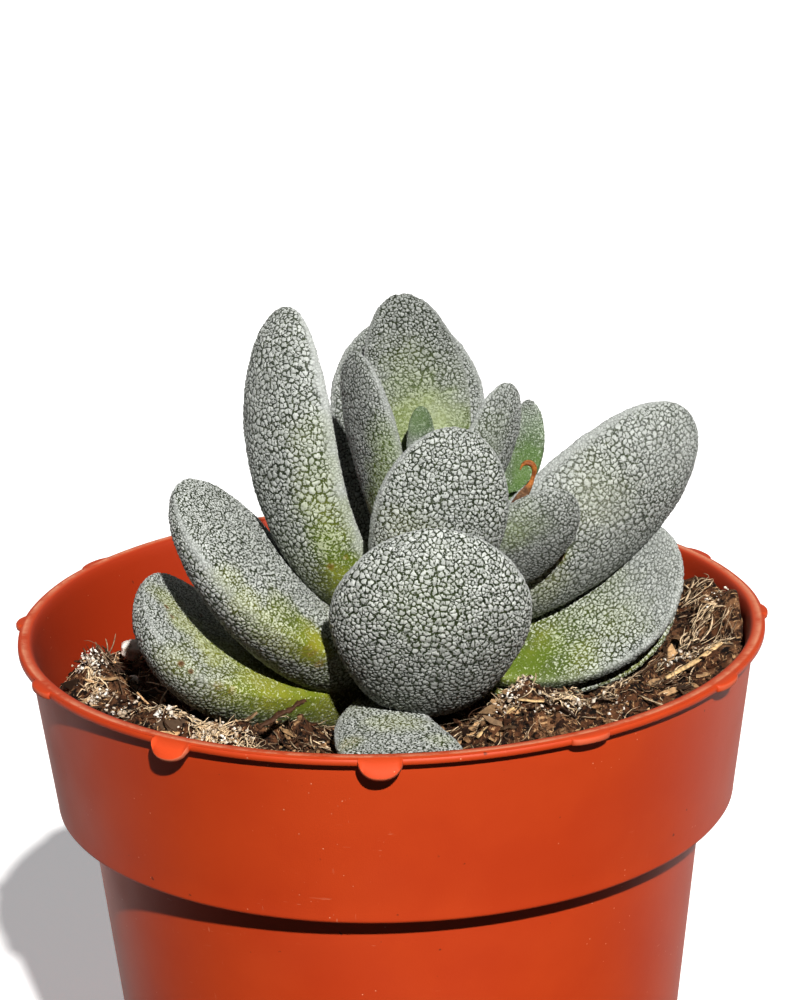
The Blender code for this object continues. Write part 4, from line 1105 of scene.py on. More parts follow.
def strand(path, radius, sides, flat, twist, taper=0.35):
    """A tapering closed strand along a path (n, 3)."""
    n = len(path)
    d = unit(np.gradient(path, axis=0))
    ref = np.array([0.13, 0.21, 1.0])
    u = unit(np.cross(d, ref))
    v = np.cross(d, u)
    ph = np.arange(sides) / sides * 2 * math.pi
    s = np.linspace(0, 1, n)
    r = radius * (taper + (1 - taper) * np.sin(math.pi * np.clip(s * 0.9 + 0.08, 0, 1)) ** 0.6)
    V = []
    for i in range(n):
        c = np.cos(ph + twist * s[i])
        q = np.sin(ph + twist * s[i])
        V.append(path[i] + r[i] * (c[:, None] * u[i] + flat * q[:, None] * v[i]))
    V = np.concatenate(V + [path[:1] - d[:1] * radius * 0.2, path[-1:] + d[-1:] * radius * 0.2])
    F = []
    for i in range(n - 1):
        for j in range(sides):
            k = (j + 1) % sides
            F.append((i * sides + j, i * sides + k, (i + 1) * sides + k, (i + 1) * sides + j))
    a, b = n * sides, n * sides + 1
    for j in range(sides):
        k = (j + 1) % sides
        F.append((a, k, j))
        F.append((b, (n - 1) * sides + j, (n - 1) * sides + k))
    return V, F


# Tufts of fibre: x, y, heading and its spread (degrees), length (mm), rise (degrees), count, tone.
TUFTS = (
    (23.4, 1.7, 25, 45, 2.8, 7, 28, 0.85), (22.4, -0.8, 50, 50, 2.2, 9, 20, 0.75), (23.2, -5.0, 40, 10, 3.2, 9, 5, 1.0),
    (23.4, 7.0, 55, 80, 1.7, 8, 18, 0.55), (22.6, -3.2, -40, 45, 1.8, 5, 14, 0.70), (25.0, 3.6, 110, 60, 1.8, 8, 14, 0.60),
    (24.6, -1.5, 70, 60, 1.8, 6, 14, 0.45), (8.7, -9.3, 90, 180, 0.9, 18, 50, 0.85), (11.8, -12.0, 10, 60, 1.7, 4, 60, 1.0),
    (15.5, -11.6, 25, 70, 1.7, 4, 20, 0.55), (-22.3, -3.0, 0, 180, 1.0, 12, 60, 0.95), (-22.0, 1.6, 60, 110, 1.6, 26, 44, 0.25),
    (-22.6, -0.6, 20, 180, 0.9, 10, 40, 0.9), (-18.0, -6.6, -40, 90, 1.3, 8, 46, 1.0), (-16.0, -9.2, -30, 90, 1.3, 8, 46, 1.0),
    (-14.0, -11.5, -30, 90, 1.3, 8, 50, 1.0), (-12.6, -13.2, -30, 90, 1.3, 6, 60, 1.0), (-11.0, -15.0, -20, 90, 1.3, 6, 50, 1.0),
    (-8.5, -14.6, 0, 90, 1.4, 4, 20, 0.6),
    (-7.3, -12.6, 20, 90, 1.4, 6, 24, 0.2), (19.0, -9.6, 30, 60, 1.8, 4, 16, 0.45),
)


def build_fibres(mat, count, rng):
    parts = []
    for x, y, head, spread, length, rise, many, tone in TUFTS:
        for _ in range(many):
            a = math.radians(head + spread * rng.uniform(-1, 1))
            ln = length * rng.uniform(0.35, 1.1)
            up = math.tan(math.radians(max(0.0, rise + rng.normal(0, 5))))
            s = np.linspace(0, 1, 7)[:, None]
            o = np.array([x, y]) + rng.normal(0, 0.32 * min(length, 2.0), 2)
            bend = rng.normal(0, 0.22) * ln
            xy = o + s * ln * np.array([math.cos(a), math.sin(a)]) + np.sin(s * 3.1) * bend * np.array([-math.sin(a), math.cos(a)])
            if np.hypot(xy[:, 0], xy[:, 1]).max() > 26.2:
                continue
            z0 = ground_at(xy)
            z = np.maximum(np.linspace(z0[0], z0[-1], 7), 0.6 * z0 + 0.4 * np.linspace(z0[0], z0[-1], 7)) + 0.15
            z = np.minimum(z + 0.5 * rng.random() ** 2 + s[:, 0] * ln * up, POT_HEIGHT - 0.25)
            path = np.concatenate([xy, z[:, None]], 1)
            r = 0.035 + 0.075 * rng.random() ** 1.8
            if np.hypot(xy[:, 0], xy[:, 1]).max() > inner_radius(path[:, 2].min()) - 0.25 - r:
                continue
            if all(clear_of_leaves(p, r + 0.25) for p in path[::2]):
                v, f = strand(path, r, 3, rng.uniform(0.4, 1.0), rng.uniform(-1, 1))
                parts.append((v, f, min(1.0, max(0.0, tone + rng.normal(0, 0.18)))))
    starts, heads, lens = [], [], []
    for _ in range(count):
        starts.append(scatter_spot(rng, 24.6))
        heads.append(rng.uniform(0, 2 * math.pi))
        lens.append(0.6 + 3.4 * rng.random() ** 2.2)
    steps = 6
    all_pts = []
    for (x, y), h, ln in zip(starts, heads, lens):
        bend = rng.normal(0, 0.55)
        pts = []
        for k in range(steps):
            s = k / (steps - 1)
            hh = h + bend * (s - 0.5) * 2
            pts.append((x + ln * (s - 0.5) * math.cos(hh), y + ln * (s - 0.5) * math.sin(hh)))
        all_pts.append(pts)
    z = ground_at(np.array(all_pts).reshape(-1, 2)).reshape(-1, steps)
    for pts, zz, ln in zip(all_pts, z, lens):
        r = 0.030 + 0.080 * rng.random() ** 2.6
        lift = np.maximum.accumulate(zz)[-1] - zz.min()
        line = np.linspace(zz[0], zz[-1], steps)
        over = max(0.0, float((zz - line).max()))
        zz = np.maximum(line + over * 0.6, zz * 0.7 + line * 0.3) + r * 0.8
        zz = zz + 0.30 * rng.random() ** 2 + rng.uniform(0, 0.8) * ln * 0.25 * np.linspace(0, 1, steps) ** 1.5 * (rng.random() < 0.4)
        path = np.array([(px, py, q) for (px, py), q in zip(pts, zz)])
        if np.hypot(path[:, 0], path[:, 1]).max() > inner_radius(path[:, 2].min()) - 0.3:
            continue
        if not all(clear_of_leaves(p, r + 0.25) for p in path[::2]):
            continue
        v, f = strand(path, r, 3, rng.uniform(0.4, 1.0), rng.uniform(-1, 1))
        parts.append((v, f, rng.random()))
    # one dark twig lies over the lowest leaf's root
    s = np.linspace(0, 1, 34)[:, None]
    path = np.array([-9.6, -14.4, POT_HEIGHT - 2.85]) + s * np.array([3.3, 2.2, 1.15])
    path += 0.10 * np.sin(s * np.array([11.0, 9.0, 17.0])) * np.array([0.5, -0.5, 0.6])
    if all(clear_of_leaves(p, 0.40) for p in path):
        v, f = strand(path, 0.27, 9, 0.6, 1.4, 0.75)
        parts.append((v + rng.normal(0, 0.045, v.shape), f, 0.0))
    for x, y, dx, dy, up in ((-23.0, 2.6, 0.5, 0.3, 1.5), (-22.6, 3.4, -0.5, 0.6, 1.2), (-22.2, 3.0, 1.2, 0.4, 2.2), (-21.9, 2.0, 0.2, 0.5, 1.6),
                             (-22.9, -1.0, -0.7, 0.2, 1.0), (23.2, 8.5, 0.7, 0.8, 0.8), (22.6, 10.2, -0.6, 0.5, 0.8), (23.6, 6.2, 0.6, -0.5, 0.7),
                             (-14.6, -7.2, -0.9, 0.4, 1.6), (-13.2, -8.6, 0.5, 0.3, 1.3), (9.6, -9.0, 0.8, 0.2, 1.2), (8.3, -9.4, -0.7, 0.3, 1.0),
                             (22.5, 4.5, 0.9, 0.6, 2.0), (21.5, 6.5, 1.6, 0.5, 1.6), (-18.5, -8.0, 0.8, -0.9, 1.4), (7.8, -12.0, -0.8, -0.3, 1.5),
                             (3.0, 22.0, 1.0, 0.2, 2.2), (-12.0, 19.5, -0.7, 0.4, 2.4)):
        z0 = float(ground_at([(x, y)])[0])
        s = np.linspace(0, 1, 7)[:, None]
        path = np.array([x, y, z0 - 0.3]) + s * np.array([dx, dy, up]) + np.sin(s * 3.1) * np.array([0.25, -0.15, 0.0])
        if all(clear_of_leaves(p, 0.3) for p in path):
            v, f = strand(path, 0.07, 5, 0.8, 0.5, 0.3)
            parts.append((v, f, 0.4 + 0.4 * rng.random()))
    V, F, tone = gather(parts)
    ob = mesh_piece("soil_fibres", V, F, mat)
    point_value(ob, "tone", tone)
    return ob


STRAWS = {
    "straw_long":   ((19.9, -8.2, -2.5), (22.2, -6.9, -2.2), (24.2, -5.4, -2.1), 0.30),
    "straw_middle": ((9.0, -12.2, -3.9), (9.9, -12.0, -3.7), (11.0, -12.0, -3.6), 0.24),
    "straw_short":  ((5.9, -14.2, -4.5), (7.2, -13.6, -4.3), (8.6, -13.2, -4.3), 0.26),
}


def build_straw(node, mat, rng):
    """A split straw: a flat ribbed strip with a frayed end."""
    *line, r = STRAWS[node]
    a, b, c = (np.array(p) + [0, 0, POT_HEIGHT] for p in line)
    s = np.linspace(0, 1, 26)[:, None]
    path = a * (1 - s) ** 2 + (2 * b - 0.5 * (a + c)) * 2 * s * (1 - s) + c * s * s
    ground = ground_at(path[:, :2])
    path[:, 2] = np.maximum(path[:, 2], np.linspace(ground[0], ground[-1], 26) + r * 0.7)
    path[:, 2] += 0.03 * np.sin(np.linspace(0, 9, 26))
    parts = []
    v, f = strand(path, r, 14, 0.42, 0.5, 0.75)
    n = 26
    ribs = np.arange(len(v) - 2) % 14
    centre = np.repeat(path, 14, 0)
    v[:-2] = centre + (v[:-2] - centre) * (1 + 0.07 * np.where(ribs % 2, 1, -1)[:, None])
    parts.append((v, f, 0.55))
    for _ in range(3):
        o = rng.normal(0, 0.12, 3) * np.array([1, 1, 0.4])
        k = int(rng.integers(14, 20))
        v, f = strand(path[k:] + o + np.array([0, 0, 0.05]), r * 0.16, 5, 0.8, 0.4)
        parts.append((v, f, rng.random()))
    V, F, tone = gather(parts)
    ob = mesh_piece(node + "_split", V, F, mat)
    point_value(ob, "tone", tone)
    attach(ob, "root")
    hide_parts(node)


def build_pebble(mat):
    """The one large perlite grain: rounded, pitted."""
    bm = bmesh.new()
    bmesh.ops.create_icosphere(bm, subdivisions=4, radius=1.0)
    size = (0.95, 0.80, 0.75)
    for v in bm.verts:
        p = v.co.copy()
        k = 1 + 0.14 * math.sin(3.1 * p.x + 1) * math.cos(2.7 * p.y) + 0.08 * math.sin(5 * p.z + 2 * p.x)
        pit = noise.cell(p * 3.0)
        k += 0.05 * noise.noise(p * 3.0) + 0.03 * noise.noise(p * 8.0) - 0.05 * max(0.0, 0.25 - noise.voronoi(p * 2.6)[0][0])
        v.co = Vector((-20.2 + size[0] * p.x * k, 7.4 + size[1] * p.y * k, POT_HEIGHT - 4.6 + size[2] * p.z * k)) * MM
    me = bpy.data.meshes.new("perlite_left_grain")
    bm.to_mesh(me)
    bm.free()
    me.materials.append(mat)
    me.shade_smooth()
    ob = link(bpy.data.objects.new("perlite_left_grain", me))
    point_value(ob, "tone", np.full(len(me.vertices), 0.9))
    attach(ob, "root")
    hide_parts("perlite_left")


def soil_material():
    t = Tree("soil_peat")
    big, mid, fine = t.noise(420, 4, 0.6), t.noise(1700, 4, 0.65), t.noise(6000, 3, 0.6)
    strands = t.noise(1.0, 3, 0.6, co=t.scaled((900, 4200, 2500)))
    strands2 = t.noise(1.0, 3, 0.6, co=t.scaled((4400, 1000, 2500)))
    base = t.mix(t.ramp(mid, 0.40, 0.60), (0.006, 0.003, 0.002), (0.112, 0.047, 0.021))
    base = t.mix(t.ramp(big, 0.50, 0.66), base, t.mix(t.ramp(mid, 0.42, 0.58), (0.034, 0.014, 0.007), (0.235, 0.122, 0.060)))
    base = t.mix(t.ramp(t.math('MAXIMUM', strands, strands2), 0.60, 0.68), base, (0.48, 0.30, 0.155))
    base = t.mix(t.ramp(fine, 0.68, 0.76), base, (0.55, 0.47, 0.38))
    h = t.math('ADD', t.math('MULTIPLY', mid, 1.0), t.math('MULTIPLY', fine, 0.5))
    return t.set(color=base, rough=0.92, normal=t.bump(h, 0.00025, 1.0), spec=0.25)


def crumb_material():
    t = Tree("soil_crumb")
    tone = t.attr("tone")
    mid, fine = t.noise(2400, 4, 0.65), t.noise(8000, 2, 0.6)
    dark = t.mix(t.ramp(mid, 0.35, 0.65), (0.008, 0.004, 0.002), (0.095, 0.037, 0.016))
    light = t.mix(t.ramp(mid, 0.35, 0.65), (0.130, 0.062, 0.030), (0.46, 0.29, 0.15))
    col = t.mix(t.ramp(tone, 0.50, 0.85), dark, light)
    return t.set(color=col, rough=0.9, normal=t.bump(t.math('ADD', mid, fine), 0.0001, 1.0), spec=0.25)


def fibre_material(name, lo, hi, skew=0.0):
    t = Tree(name)
    tone = t.attr("tone")
    along = t.noise(1.0, 3, 0.6, co=t.scaled((3000, 1400, 5000)))
    col = t.mix(t.ramp(tone, skew, 1.0), lo, hi)
    col = t.mix(t.ramp(along, 0.35, 0.7), col, t.mix(0.55, col, (0.05, 0.026, 0.012)))
    return t.set(color=col, rough=0.7, normal=t.bump(along, 0.00005, 0.8), spec=0.35)


def white_material(name):
    t = Tree(name)
    tone = t.attr("tone")
    mid, fine = t.noise(2600, 3, 0.6), t.noise(9000, 2, 0.6)
    col = t.mix(t.ramp(tone, 0, 1), (0.50, 0.39, 0.28), (0.88, 0.84, 0.77))
    col = t.mix(t.ramp(mid, 0.55, 0.70), col, (0.34, 0.25, 0.18))
    return t.set(color=col, rough=0.85, normal=t.bump(t.math('ADD', mid, fine), 0.00008, 1.0), spec=0.3)


peat = soil_material()
soil, _ = build_soil(peat)
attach(soil, "root")
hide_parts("soil")
crumbs = build_crumbs(crumb_material(), 2100, np.random.default_rng(101))
fibres = build_fibres(fibre_material("soil_fibre", (0.080, 0.034, 0.015), (0.92, 0.72, 0.48), 0.15),
                      2100, np.random.default_rng(102))
chips = build_chips(fibre_material("soil_chip", (0.026, 0.011, 0.006), (0.66, 0.42, 0.22), 0.30),
                    560, np.random.default_rng(104))
for ob in (crumbs, fibres, chips):
    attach(ob, "root")
chalk = white_material("perlite_white")
dust = build_white(chalk, 1500, np.random.default_rng(103))
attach(dust, "root")
build_pebble(chalk)
straw = fibre_material("straw_split", (0.66, 0.43, 0.20), (0.90, 0.66, 0.36))
for k, node in enumerate(STRAWS):
    build_straw(node, straw, np.random.default_rng(200 + k))

# ---------------------------------------------------------------- pot
def arc_points(cx, cz, r, a0, a1, n):
    return [(cx + r * math.cos(math.radians(a0 + (a1 - a0) * k / n)),
             cz + r * math.sin(math.radians(a0 + (a1 - a0) * k / n))) for k in range(n + 1)]


def straight(p, q, n):
    return [(p[0] + (q[0] - p[0]) * k / n, p[1] + (q[1] - p[1]) * k / n) for k in range(1, n)]


def build_pot(mat):
    h = POT_HEIGHT
    bf = h - BAND_HEIGHT
    foot_in = BODY_FOOT_RADIUS - WALL
    a = (BODY_FOOT_RADIUS - FOOT_CHAMFER - 0.1, 0.0)
    b = (BODY_FOOT_RADIUS, FOOT_CHAMFER + 0.1)
    outer = [(4.0, 0.0), (8.5, 0.0), (15.5, 0.0), (17.5, 0.0), a, (a[0] + 0.30, 0.08), (b[0] - 0.18, 0.32), b]
    p, q = (BODY_FOOT_RADIUS + 0.02, 1.4), (BODY_TOP_RADIUS - 0.01, bf - 0.45)
    outer += [p] + straight(p, q, 9) + [q]
    outer += arc_points(BODY_TOP_RADIUS + 0.33, bf - 0.33, 0.33, 180, 90, 4)
    outer += [(BODY_TOP_RADIUS + 1.2, bf), (BAND_FOOT_RADIUS - 0.55, bf)]
    outer += arc_points(BAND_FOOT_RADIUS - 0.30, bf + 0.30, 0.30, 270, 360, 4)
    p, q = (BAND_FOOT_RADIUS + 0.01, bf + 0.5), (BAND_TOP_RADIUS - 0.01, h - LIP_HEIGHT - 0.25)
    outer += [p] + straight(p, q, 8) + [q, (BAND_TOP_RADIUS, h - LIP_HEIGHT - 0.05)]
    inner_top = RIM_RADIUS - LIP_WIDTH
    inside = [(inner_top + 0.22, h), (inner_top + 0.07, h - 0.04), (inner_top - 0.02, h - 0.16), (inner_top - 0.12, h - 0.35)]
    p, q = (inner_top - 0.27, h - 0.9), (BAND_FOOT_RADIUS - WALL, bf + 1.0)
    inside += [p] + straight(p, q, 6) + [q, (BAND_FOOT_RADIUS - WALL - 0.25, bf + 0.62), (BODY_TOP_RADIUS - WALL + 0.4, bf + 0.1),
                                         (BODY_TOP_RADIUS - WALL + 0.05, bf - 0.4)]
    inside += [(BODY_TOP_RADIUS - WALL - 0.9, 24.0), (foot_in + 0.1, FLOOR + 0.6), (foot_in - 0.25, FLOOR + 0.1), (foot_in - 0.6, FLOOR),
               (15.5, FLOOR), (8.5, FLOOR), (4.0, FLOOR)]
    cols = []
    for k in range(12):
        mid = TAB_ANGLES[k]
        half = TAB_HALF_ANGLE_SIDE if k in (0, 6) else TAB_HALF_ANGLE
        gap = (TAB_ANGLES[(k + 1) % 12] - mid) % 360
        next_half = TAB_HALF_ANGLE_SIDE if (k + 1) % 12 in (0, 6) else TAB_HALF_ANGLE
        reach, droop = TAB_SPECIAL.get(k, TAB_PLAIN)
        for s in range(21):
            f = math.sin((s / 20 - 0.5) * math.pi)
            e = max(0.0, 1 - abs(f) ** 2.3) ** 0.5
            # the last value sets how much lighter tab tint and pale cut edge a tab gets; on the sun-facing tab (k == 9)
            # it is halved as painted shade
            cols.append((mid + f * half, reach * e, droop * min(1.0, e * 1.6), (0.5 if k == 9 else 1.0) if reach > 0.6 else 0.4))
        for s in range(1, 15):
            cols.append((mid + half + (gap - half - next_half) * s / 15, 0.0, 0.0, 0.0))
    V, tab, cutedge, lip_top, inner_wall_shade = [], [], [], [], []
    for ang, e, d, strong in cols:
        ar, dr = math.radians(ang), math.radians(d)
        c, s = math.cos(dr), math.sin(dr)
        th = TAB_THICKNESS
        # tongue of plastic: out along the droop direction, square-ish cut end
        tip = (RIM_RADIUS - 0.05 + e * c, h - 0.10 - e * s)
        low = (tip[0] - th * s, tip[1] - th * c)
        mid_low = ((BAND_TOP_RADIUS + 0.06) * 0.5 + low[0] * 0.5, (h - LIP_HEIGHT + 0.03) * 0.5 + low[1] * 0.5)
        lip = [(BAND_TOP_RADIUS + 0.06, h - LIP_HEIGHT + 0.03), mid_low,
               (low[0] - 0.05 * c, low[1] + 0.05 * s), (low[0] + 0.05 * s, low[1] + 0.05 * c),
               ((low[0] + tip[0]) / 2 + 0.02 * c, (low[1] + tip[1]) / 2 - 0.02 * s),
               (tip[0] - 0.06 * s, tip[1] - 0.06 * c), (tip[0] - 0.06 * c, tip[1] + 0.06 * s),
               ((tip[0] + RIM_RADIUS - 0.14) / 2, (tip[1] + h - 0.03) / 2 + 0.03 * min(1, e)), (RIM_RADIUS - 0.22, h - 0.005)]
        line = outer + lip + [(RIM_RADIUS - 0.4, h)] + inside
        wob = 0.025 * math.sin(3 * ar + 0.7) + 0.02 * math.sin(7 * ar + 2.0) + 0.012 * math.sin(17 * ar)
        lo = len(outer)
        m_in = len(line) - len(inside)
        for i, (r, z) in enumerate(line):
            k = wob * min(1.0, max(0.0, z / h)) * (1 if r > 10 else 0)
            V.append(((r + k) * math.cos(ar), (r + k) * math.sin(ar), z + 0.3 * k * (z > h - 2)))
            on = lo + 1 <= i <= lo + 7
            tab.append(strong * min(1.0, e * 2.0) if on else 0.0)
            cutedge.append(strong * min(1.0, e * 3) if lo + 3 <= i <= lo + 5 else 0.0)
            lip_top.append(1.0 if i == lo + 9 else 0.0)
            inner_wall_shade.append(1.0 if i > m_in else 0.0)
    n, m = len(cols), len(line)
    F = []
    for i in range(n):
        j = (i + 1) % n
        for k in range(m - 1):
            F.append((i * m + k, j * m + k, j * m + k + 1, i * m + k + 1))
    V += [(0, 0, 0), (0, 0, FLOOR)]
    c0, c1 = n * m, n * m + 1
    for i in range(n):
        j = (i + 1) % n
        F.append((c0, j * m, i * m))
        F.append((c1, i * m + m - 1, j * m + m - 1))
    tab += [0, 0]
    cutedge += [0, 0]
    inner_wall_shade += [1.0] * (len(V) - len(inner_wall_shade))
    lip_top += [0, 0]
    ob = mesh_piece("pot_shell", V, F, mat)
    point_value(ob, "tab", tab)
    point_value(ob, "cutedge", cutedge)
    point_value(ob, "inner_wall_shade", inner_wall_shade)
    point_value(ob, "lip", lip_top)
    # drain holes
    bm = bmesh.new()
    for k in range(4):
        an = math.radians(45 + 90 * k)
        bmesh.ops.create_cone(bm, cap_ends=True, segments=48, radius1=DRAIN_RADIUS * MM, radius2=DRAIN_RADIUS * MM, depth=6 * MM,
                              matrix=Matrix.Translation((DRAIN_CIRCLE * math.cos(an) * MM, DRAIN_CIRCLE * math.sin(an) * MM, 0.5 * MM)))
    me = bpy.data.meshes.new("drain_cut")
    bm.to_mesh(me)
    bm.free()
    cutter = link(bpy.data.objects.new("drain_cut", me))
    md = ob.modifiers.new("drain", 'BOOLEAN')
    md.operation = 'DIFFERENCE'
    md.solver = 'EXACT'
    md.object = cutter
    graph = bpy.context.evaluated_depsgraph_get()
    done = bpy.data.meshes.new_from_object(ob.evaluated_get(graph))
    ob.modifiers.clear()
    old, ob.data = ob.data, done
    bpy.data.meshes.remove(old)
    bpy.data.objects.remove(cutter, do_unlink=True)
    ob.data.shade_smooth()
    ob.data.set_sharp_from_angle(angle=math.radians(50))
    return ob


def pot_material():
    t = Tree("pot_plastic")
    tab, cutedge = t.attr("tab"), t.attr("cutedge")
    broad, mid, fine = t.noise(90, 4, 0.6), t.noise(900, 3, 0.6), t.noise(9000, 2, 0.6)
    col = t.mix(t.ramp(broad, 0.3, 0.7), (0.485, 0.048, 0.0046), (0.525, 0.059, 0.0064))
    col = t.mix(t.math('MULTIPLY', tab, 0.85), col, (0.66, 0.072, 0.0095))
    # the inside wall is painted a darker red: painted shade inside the pot
    col = t.mix(t.math('MULTIPLY', t.attr("inner_wall_shade"), 0.9), col, (0.345, 0.029, 0.0022))
    # fine dust: light specks, more of them in some areas
    specks = t.voronoi(1500, 'F1')
    cell = t.voronoi(1500, 'F1', out="Color")
    dusty = t.ramp(t.noise(140, 3, 0.6), 0.44, 0.66)
    few = t.ramp(t.math('MULTIPLY', t.noise(700, 1, 0.5), dusty), 0.28, 0.40)
    dot = t.math('MULTIPLY', t.ramp(specks, 0.10, 0.04), few)
    # scratches and scuffs: short thin pale lines in two directions
    def lines(vec, lo, hi):
        return t.ramp(t.noise(1.0, 2, 0.5, co=t.scaled(vec)), lo, hi)
    scuff = t.ramp(t.noise(110, 4, 0.6), 0.56, 0.74)
    sc = t.math('MAXIMUM', lines((700, 700, 5200), 0.705, 0.74), lines((4600, 4600, 620), 0.715, 0.75))
    sc = t.math('MULTIPLY', sc, scuff)
    wear_and_rim_highlight = t.math('MAXIMUM', t.math('MULTIPLY', dot, 0.75), t.math('MULTIPLY', sc, 0.55))
    wear_and_rim_highlight = t.math('MAXIMUM', wear_and_rim_highlight, t.math('MULTIPLY', cutedge, 0.34))
    # a pale blotchy line on the top of the lip: a painted highlight of the light on the rounded rim
    rim_highlight = t.math('MULTIPLY', t.attr("lip"), t.ramp(t.noise(260, 5, 0.7), 0.32, 0.56))
    wear_and_rim_highlight = t.math('MAXIMUM', wear_and_rim_highlight, t.math('MULTIPLY', rim_highlight, 0.60))
    # dust specks, scratches and tab cut edges are real pale wear; the lip line mixed in here is a painted highlight
    col = t.mix(wear_and_rim_highlight, col, (0.80, 0.42, 0.26))
    grime = t.ramp(t.noise(1300, 2, 0.5), 0.74, 0.80)
    col = t.mix(t.math('MULTIPLY', grime, 0.7), col, (0.09, 0.02, 0.008))
    haze = t.ramp(t.noise(60, 4, 0.65), 0.4, 0.75)
    rough = t.math('ADD', t.ramp(haze, 0, 1, 0.57, 0.66, smooth=False), t.math('MULTIPLY', wear_and_rim_highlight, 0.3))
    rough = t.math('ADD', rough, t.math('MULTIPLY', tab, 0.28))
    h = t.math('ADD', t.math('MULTIPLY', fine, 0.55), t.math('MULTIPLY', mid, 0.6))
    h = t.math('ADD', h, t.math('MULTIPLY', sc, -0.5))
    return t.set(color=col, rough=rough, normal=t.bump(h, 0.000018, 0.7),
                 spec=0.5)


pot = build_pot(pot_material())
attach(pot, "root")
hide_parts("pot")


# ---------------------------------------------------------------- stem and dried tip
def build_stem(mat):
    n, m = 70, 48
    V = []
    for i in range(n):
        f = i / (n - 1)
        z = STEM_FOOT + (STEM_TOP - STEM_FOOT) * f
        r = STEM_FOOT_RADIUS + (STEM_TOP_RADIUS - STEM_FOOT_RADIUS) * f
        r *= 1 + 0.03 * math.sin(f * 14.0) + 0.03 * math.sin(f * 70)
        for k in range(m):
            a = 2 * math.pi * k / m
            rr = r * (1 + 0.03 * noise.noise(Vector((math.cos(a) * 2, math.sin(a) * 2, z * 1.2))))
            V.append((STEM_X + rr * math.cos(a), STEM_Y + rr * math.sin(a), POT_HEIGHT + z))
    F = [(i * m + k, i * m + (k + 1) % m, (i + 1) * m + (k + 1) % m, (i + 1) * m + k)
         for i in range(n - 1) for k in range(m)]
    V += [(STEM_X, STEM_Y, POT_HEIGHT + STEM_FOOT), (STEM_X, STEM_Y, POT_HEIGHT + STEM_TOP + 0.25)]
    F += [(n * m, (k + 1) % m, k) for k in range(m)]
    F += [(n * m + 1, (n - 1) * m + k, (n - 1) * m + (k + 1) % m) for k in range(m)]
    ob = mesh_piece("stem_bark", V, F, mat)
    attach(ob, "root")
    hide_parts("stem")


def stem_material():
    t = Tree("stem_bark")
    mid, rings = t.noise(900, 3, 0.6), t.noise(1.0, 2, 0.5, co=t.scaled((300, 300, 2600)))
    col = t.mix(t.ramp(mid, 0.35, 0.7), (0.13, 0.17, 0.035), (0.20, 0.13, 0.05))
    col = t.mix(t.ramp(rings, 0.5, 0.7), col, (0.10, 0.06, 0.025))
    return t.set(color=col, rough=0.65, normal=t.bump(t.math('ADD', mid, rings), 0.0001, 0.8))


WITHERED_STALK = ((8.0, -2.3, 7.4), (9.0, -2.2, 8.7), (9.9, -2.1, 9.9), (10.6, -2.1, 10.9), (10.9, -2.1, 11.9))
WITHERED_CURL = 0.55


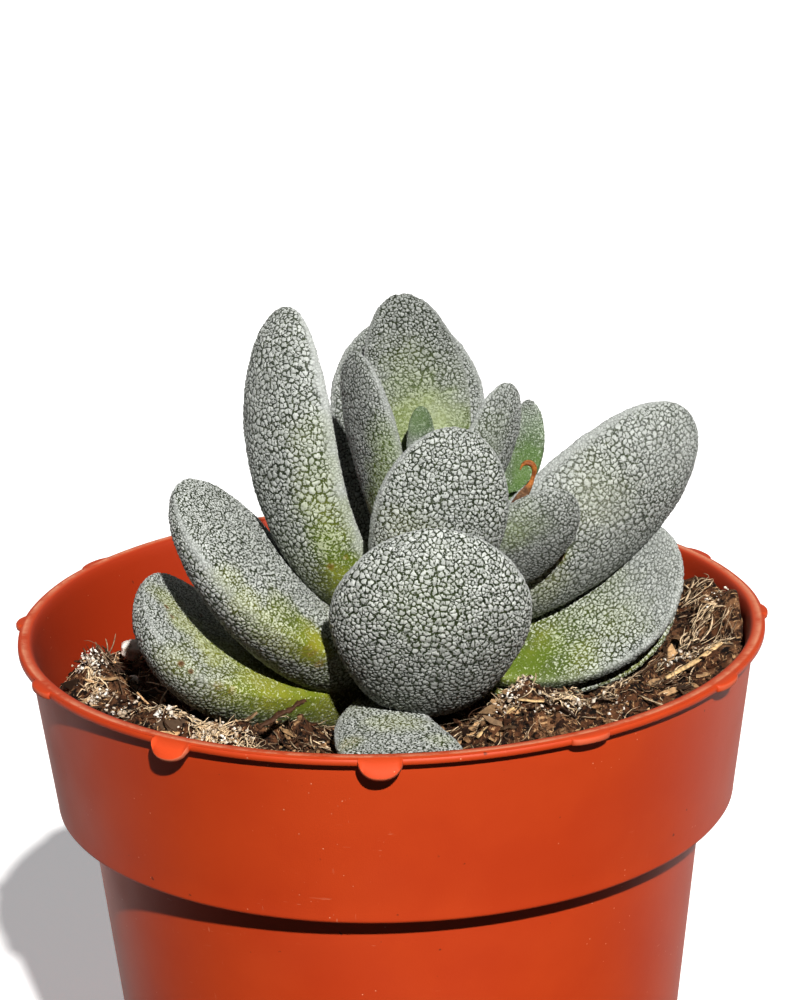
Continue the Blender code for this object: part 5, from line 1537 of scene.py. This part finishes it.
def build_withered(mat):
    """A dried leaf: a creased strip that narrows to a stalk and curls over at its end."""
    pts = [Vector(p) for p in WITHERED_STALK]
    e = pts[-1]
    for i in range(1, 9):
        a = math.pi * 0.98 * i / 8
        pts.append(e + Vector((-WITHERED_CURL * (1 - math.cos(a)), 0, WITHERED_CURL * 1.15 * math.sin(a))))
    P = np.array([p[:] for p in pts]) + [0, 0, POT_HEIGHT]
    s0 = np.concatenate([[0], np.cumsum(np.linalg.norm(np.diff(P, axis=0), axis=1))])
    s = np.linspace(0, s0[-1], 60)
    path = np.stack([np.interp(s, s0, P[:, k]) for k in range(3)], 1)
    for _ in range(6):
        path[1:-1] = 0.25 * path[:-2] + 0.5 * path[1:-1] + 0.25 * path[2:]
    m = 16
    d = unit(np.gradient(path, axis=0))
    u = unit(np.cross(d, np.array([0.0, 1.0, 0.05])))
    v = np.cross(d, u)
    V = []
    for i, f in enumerate(s / s[-1]):
        wide = 0.17 + 0.27 * math.exp(-((f - 0.30) / 0.24) ** 2) + 0.05 * math.sin(17 * f)
        wide *= 1 if f < 0.9 else max(0.25, 1 - (f - 0.9) * 7)
        thick = 0.13 + 0.05 * math.sin(23 * f + 1)
        for k in range(m):
            a = 2 * math.pi * k / m
            crease = 1 + 0.22 * math.sin(3 * a + 5 * f)
            V.append(path[i] + u[i] * wide * math.cos(a) + v[i] * (thick * math.sin(a) * crease + 0.16 * wide * math.cos(2 * a)))
    n = len(s)
    V = V + [path[0], path[-1]]
    F = [(i * m + k, i * m + (k + 1) % m, (i + 1) * m + (k + 1) % m, (i + 1) * m + k)
         for i in range(n - 1) for k in range(m)]
    F += [(n * m, (k + 1) % m, k) for k in range(m)]
    F += [(n * m + 1, (n - 1) * m + k, (n - 1) * m + (k + 1) % m) for k in range(m)]
    ob = mesh_piece("withered_curl", V, F, mat)
    point_value(ob, "along", np.concatenate([np.repeat(s / s[-1], m), [0, 1]]))
    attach(ob, "root")
    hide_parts("withered_tip")


def withered_material():
    t = Tree("withered_skin")
    along = t.attr("along")
    mid, fine = t.noise(1600, 4, 0.65), t.noise(6000, 2, 0.6)
    col = t.mix(t.ramp(mid, 0.3, 0.7), (0.075, 0.032, 0.014), (0.30, 0.165, 0.085))
    col = t.mix(t.ramp(along, 0.35, 0.0), col, (0.40, 0.25, 0.13))
    col = t.mix(t.ramp(along, 0.50, 0.62), col, t.mix(t.ramp(mid, 0.35, 0.6), (0.20, 0.055, 0.010), (0.46, 0.165, 0.032)))
    return t.set(color=col, rough=0.6, normal=t.bump(t.math('ADD', mid, fine), 0.00008, 1.0))


build_stem(stem_material())
build_withered(withered_material())

fl = bpy.data.meshes.new("floor")
fl.from_pydata([(-3, -3, 0), (3, -3, 0), (3, 3, 0), (-3, 3, 0)], [], [(0, 1, 2, 3)])
ft = Tree("floor_paper")
f_sep = ft.nt.nodes.new("ShaderNodeSeparateXYZ")
ft.nt.links.new(ft.co, f_sep.inputs[0])
# the paper looks the same everywhere; in front of the pot it just throws back little light
f_path = ft.nt.nodes.new("ShaderNodeLightPath")
f_near = ft.math('MULTIPLY', ft.ramp(f_sep.outputs[1], 0.034, -0.018), ft.math('SUBTRACT', 1.0, f_path.outputs["Is Camera Ray"]))
ft.set(color=ft.mix(f_near, ft.mix(ft.noise(40, 3), (0.88, 0.88, 0.885), (0.91, 0.91, 0.91)), (0.05, 0.05, 0.052)), rough=0.95, spec=0.1)
# the floor also glows: painted light that lifts the shadows cast on it; for bounced light the glow fades out in front
# of the pot
ft.put(ft.bsdf.inputs["Emission Color"], (1.0, 1.0, 1.02))
ft.put(ft.bsdf.inputs["Emission Strength"], ft.ramp(f_near, 0.0, 1.0, 0.325, 0.0))
fl.materials.append(ft.m)
floor = link(bpy.data.objects.new("floor", fl))
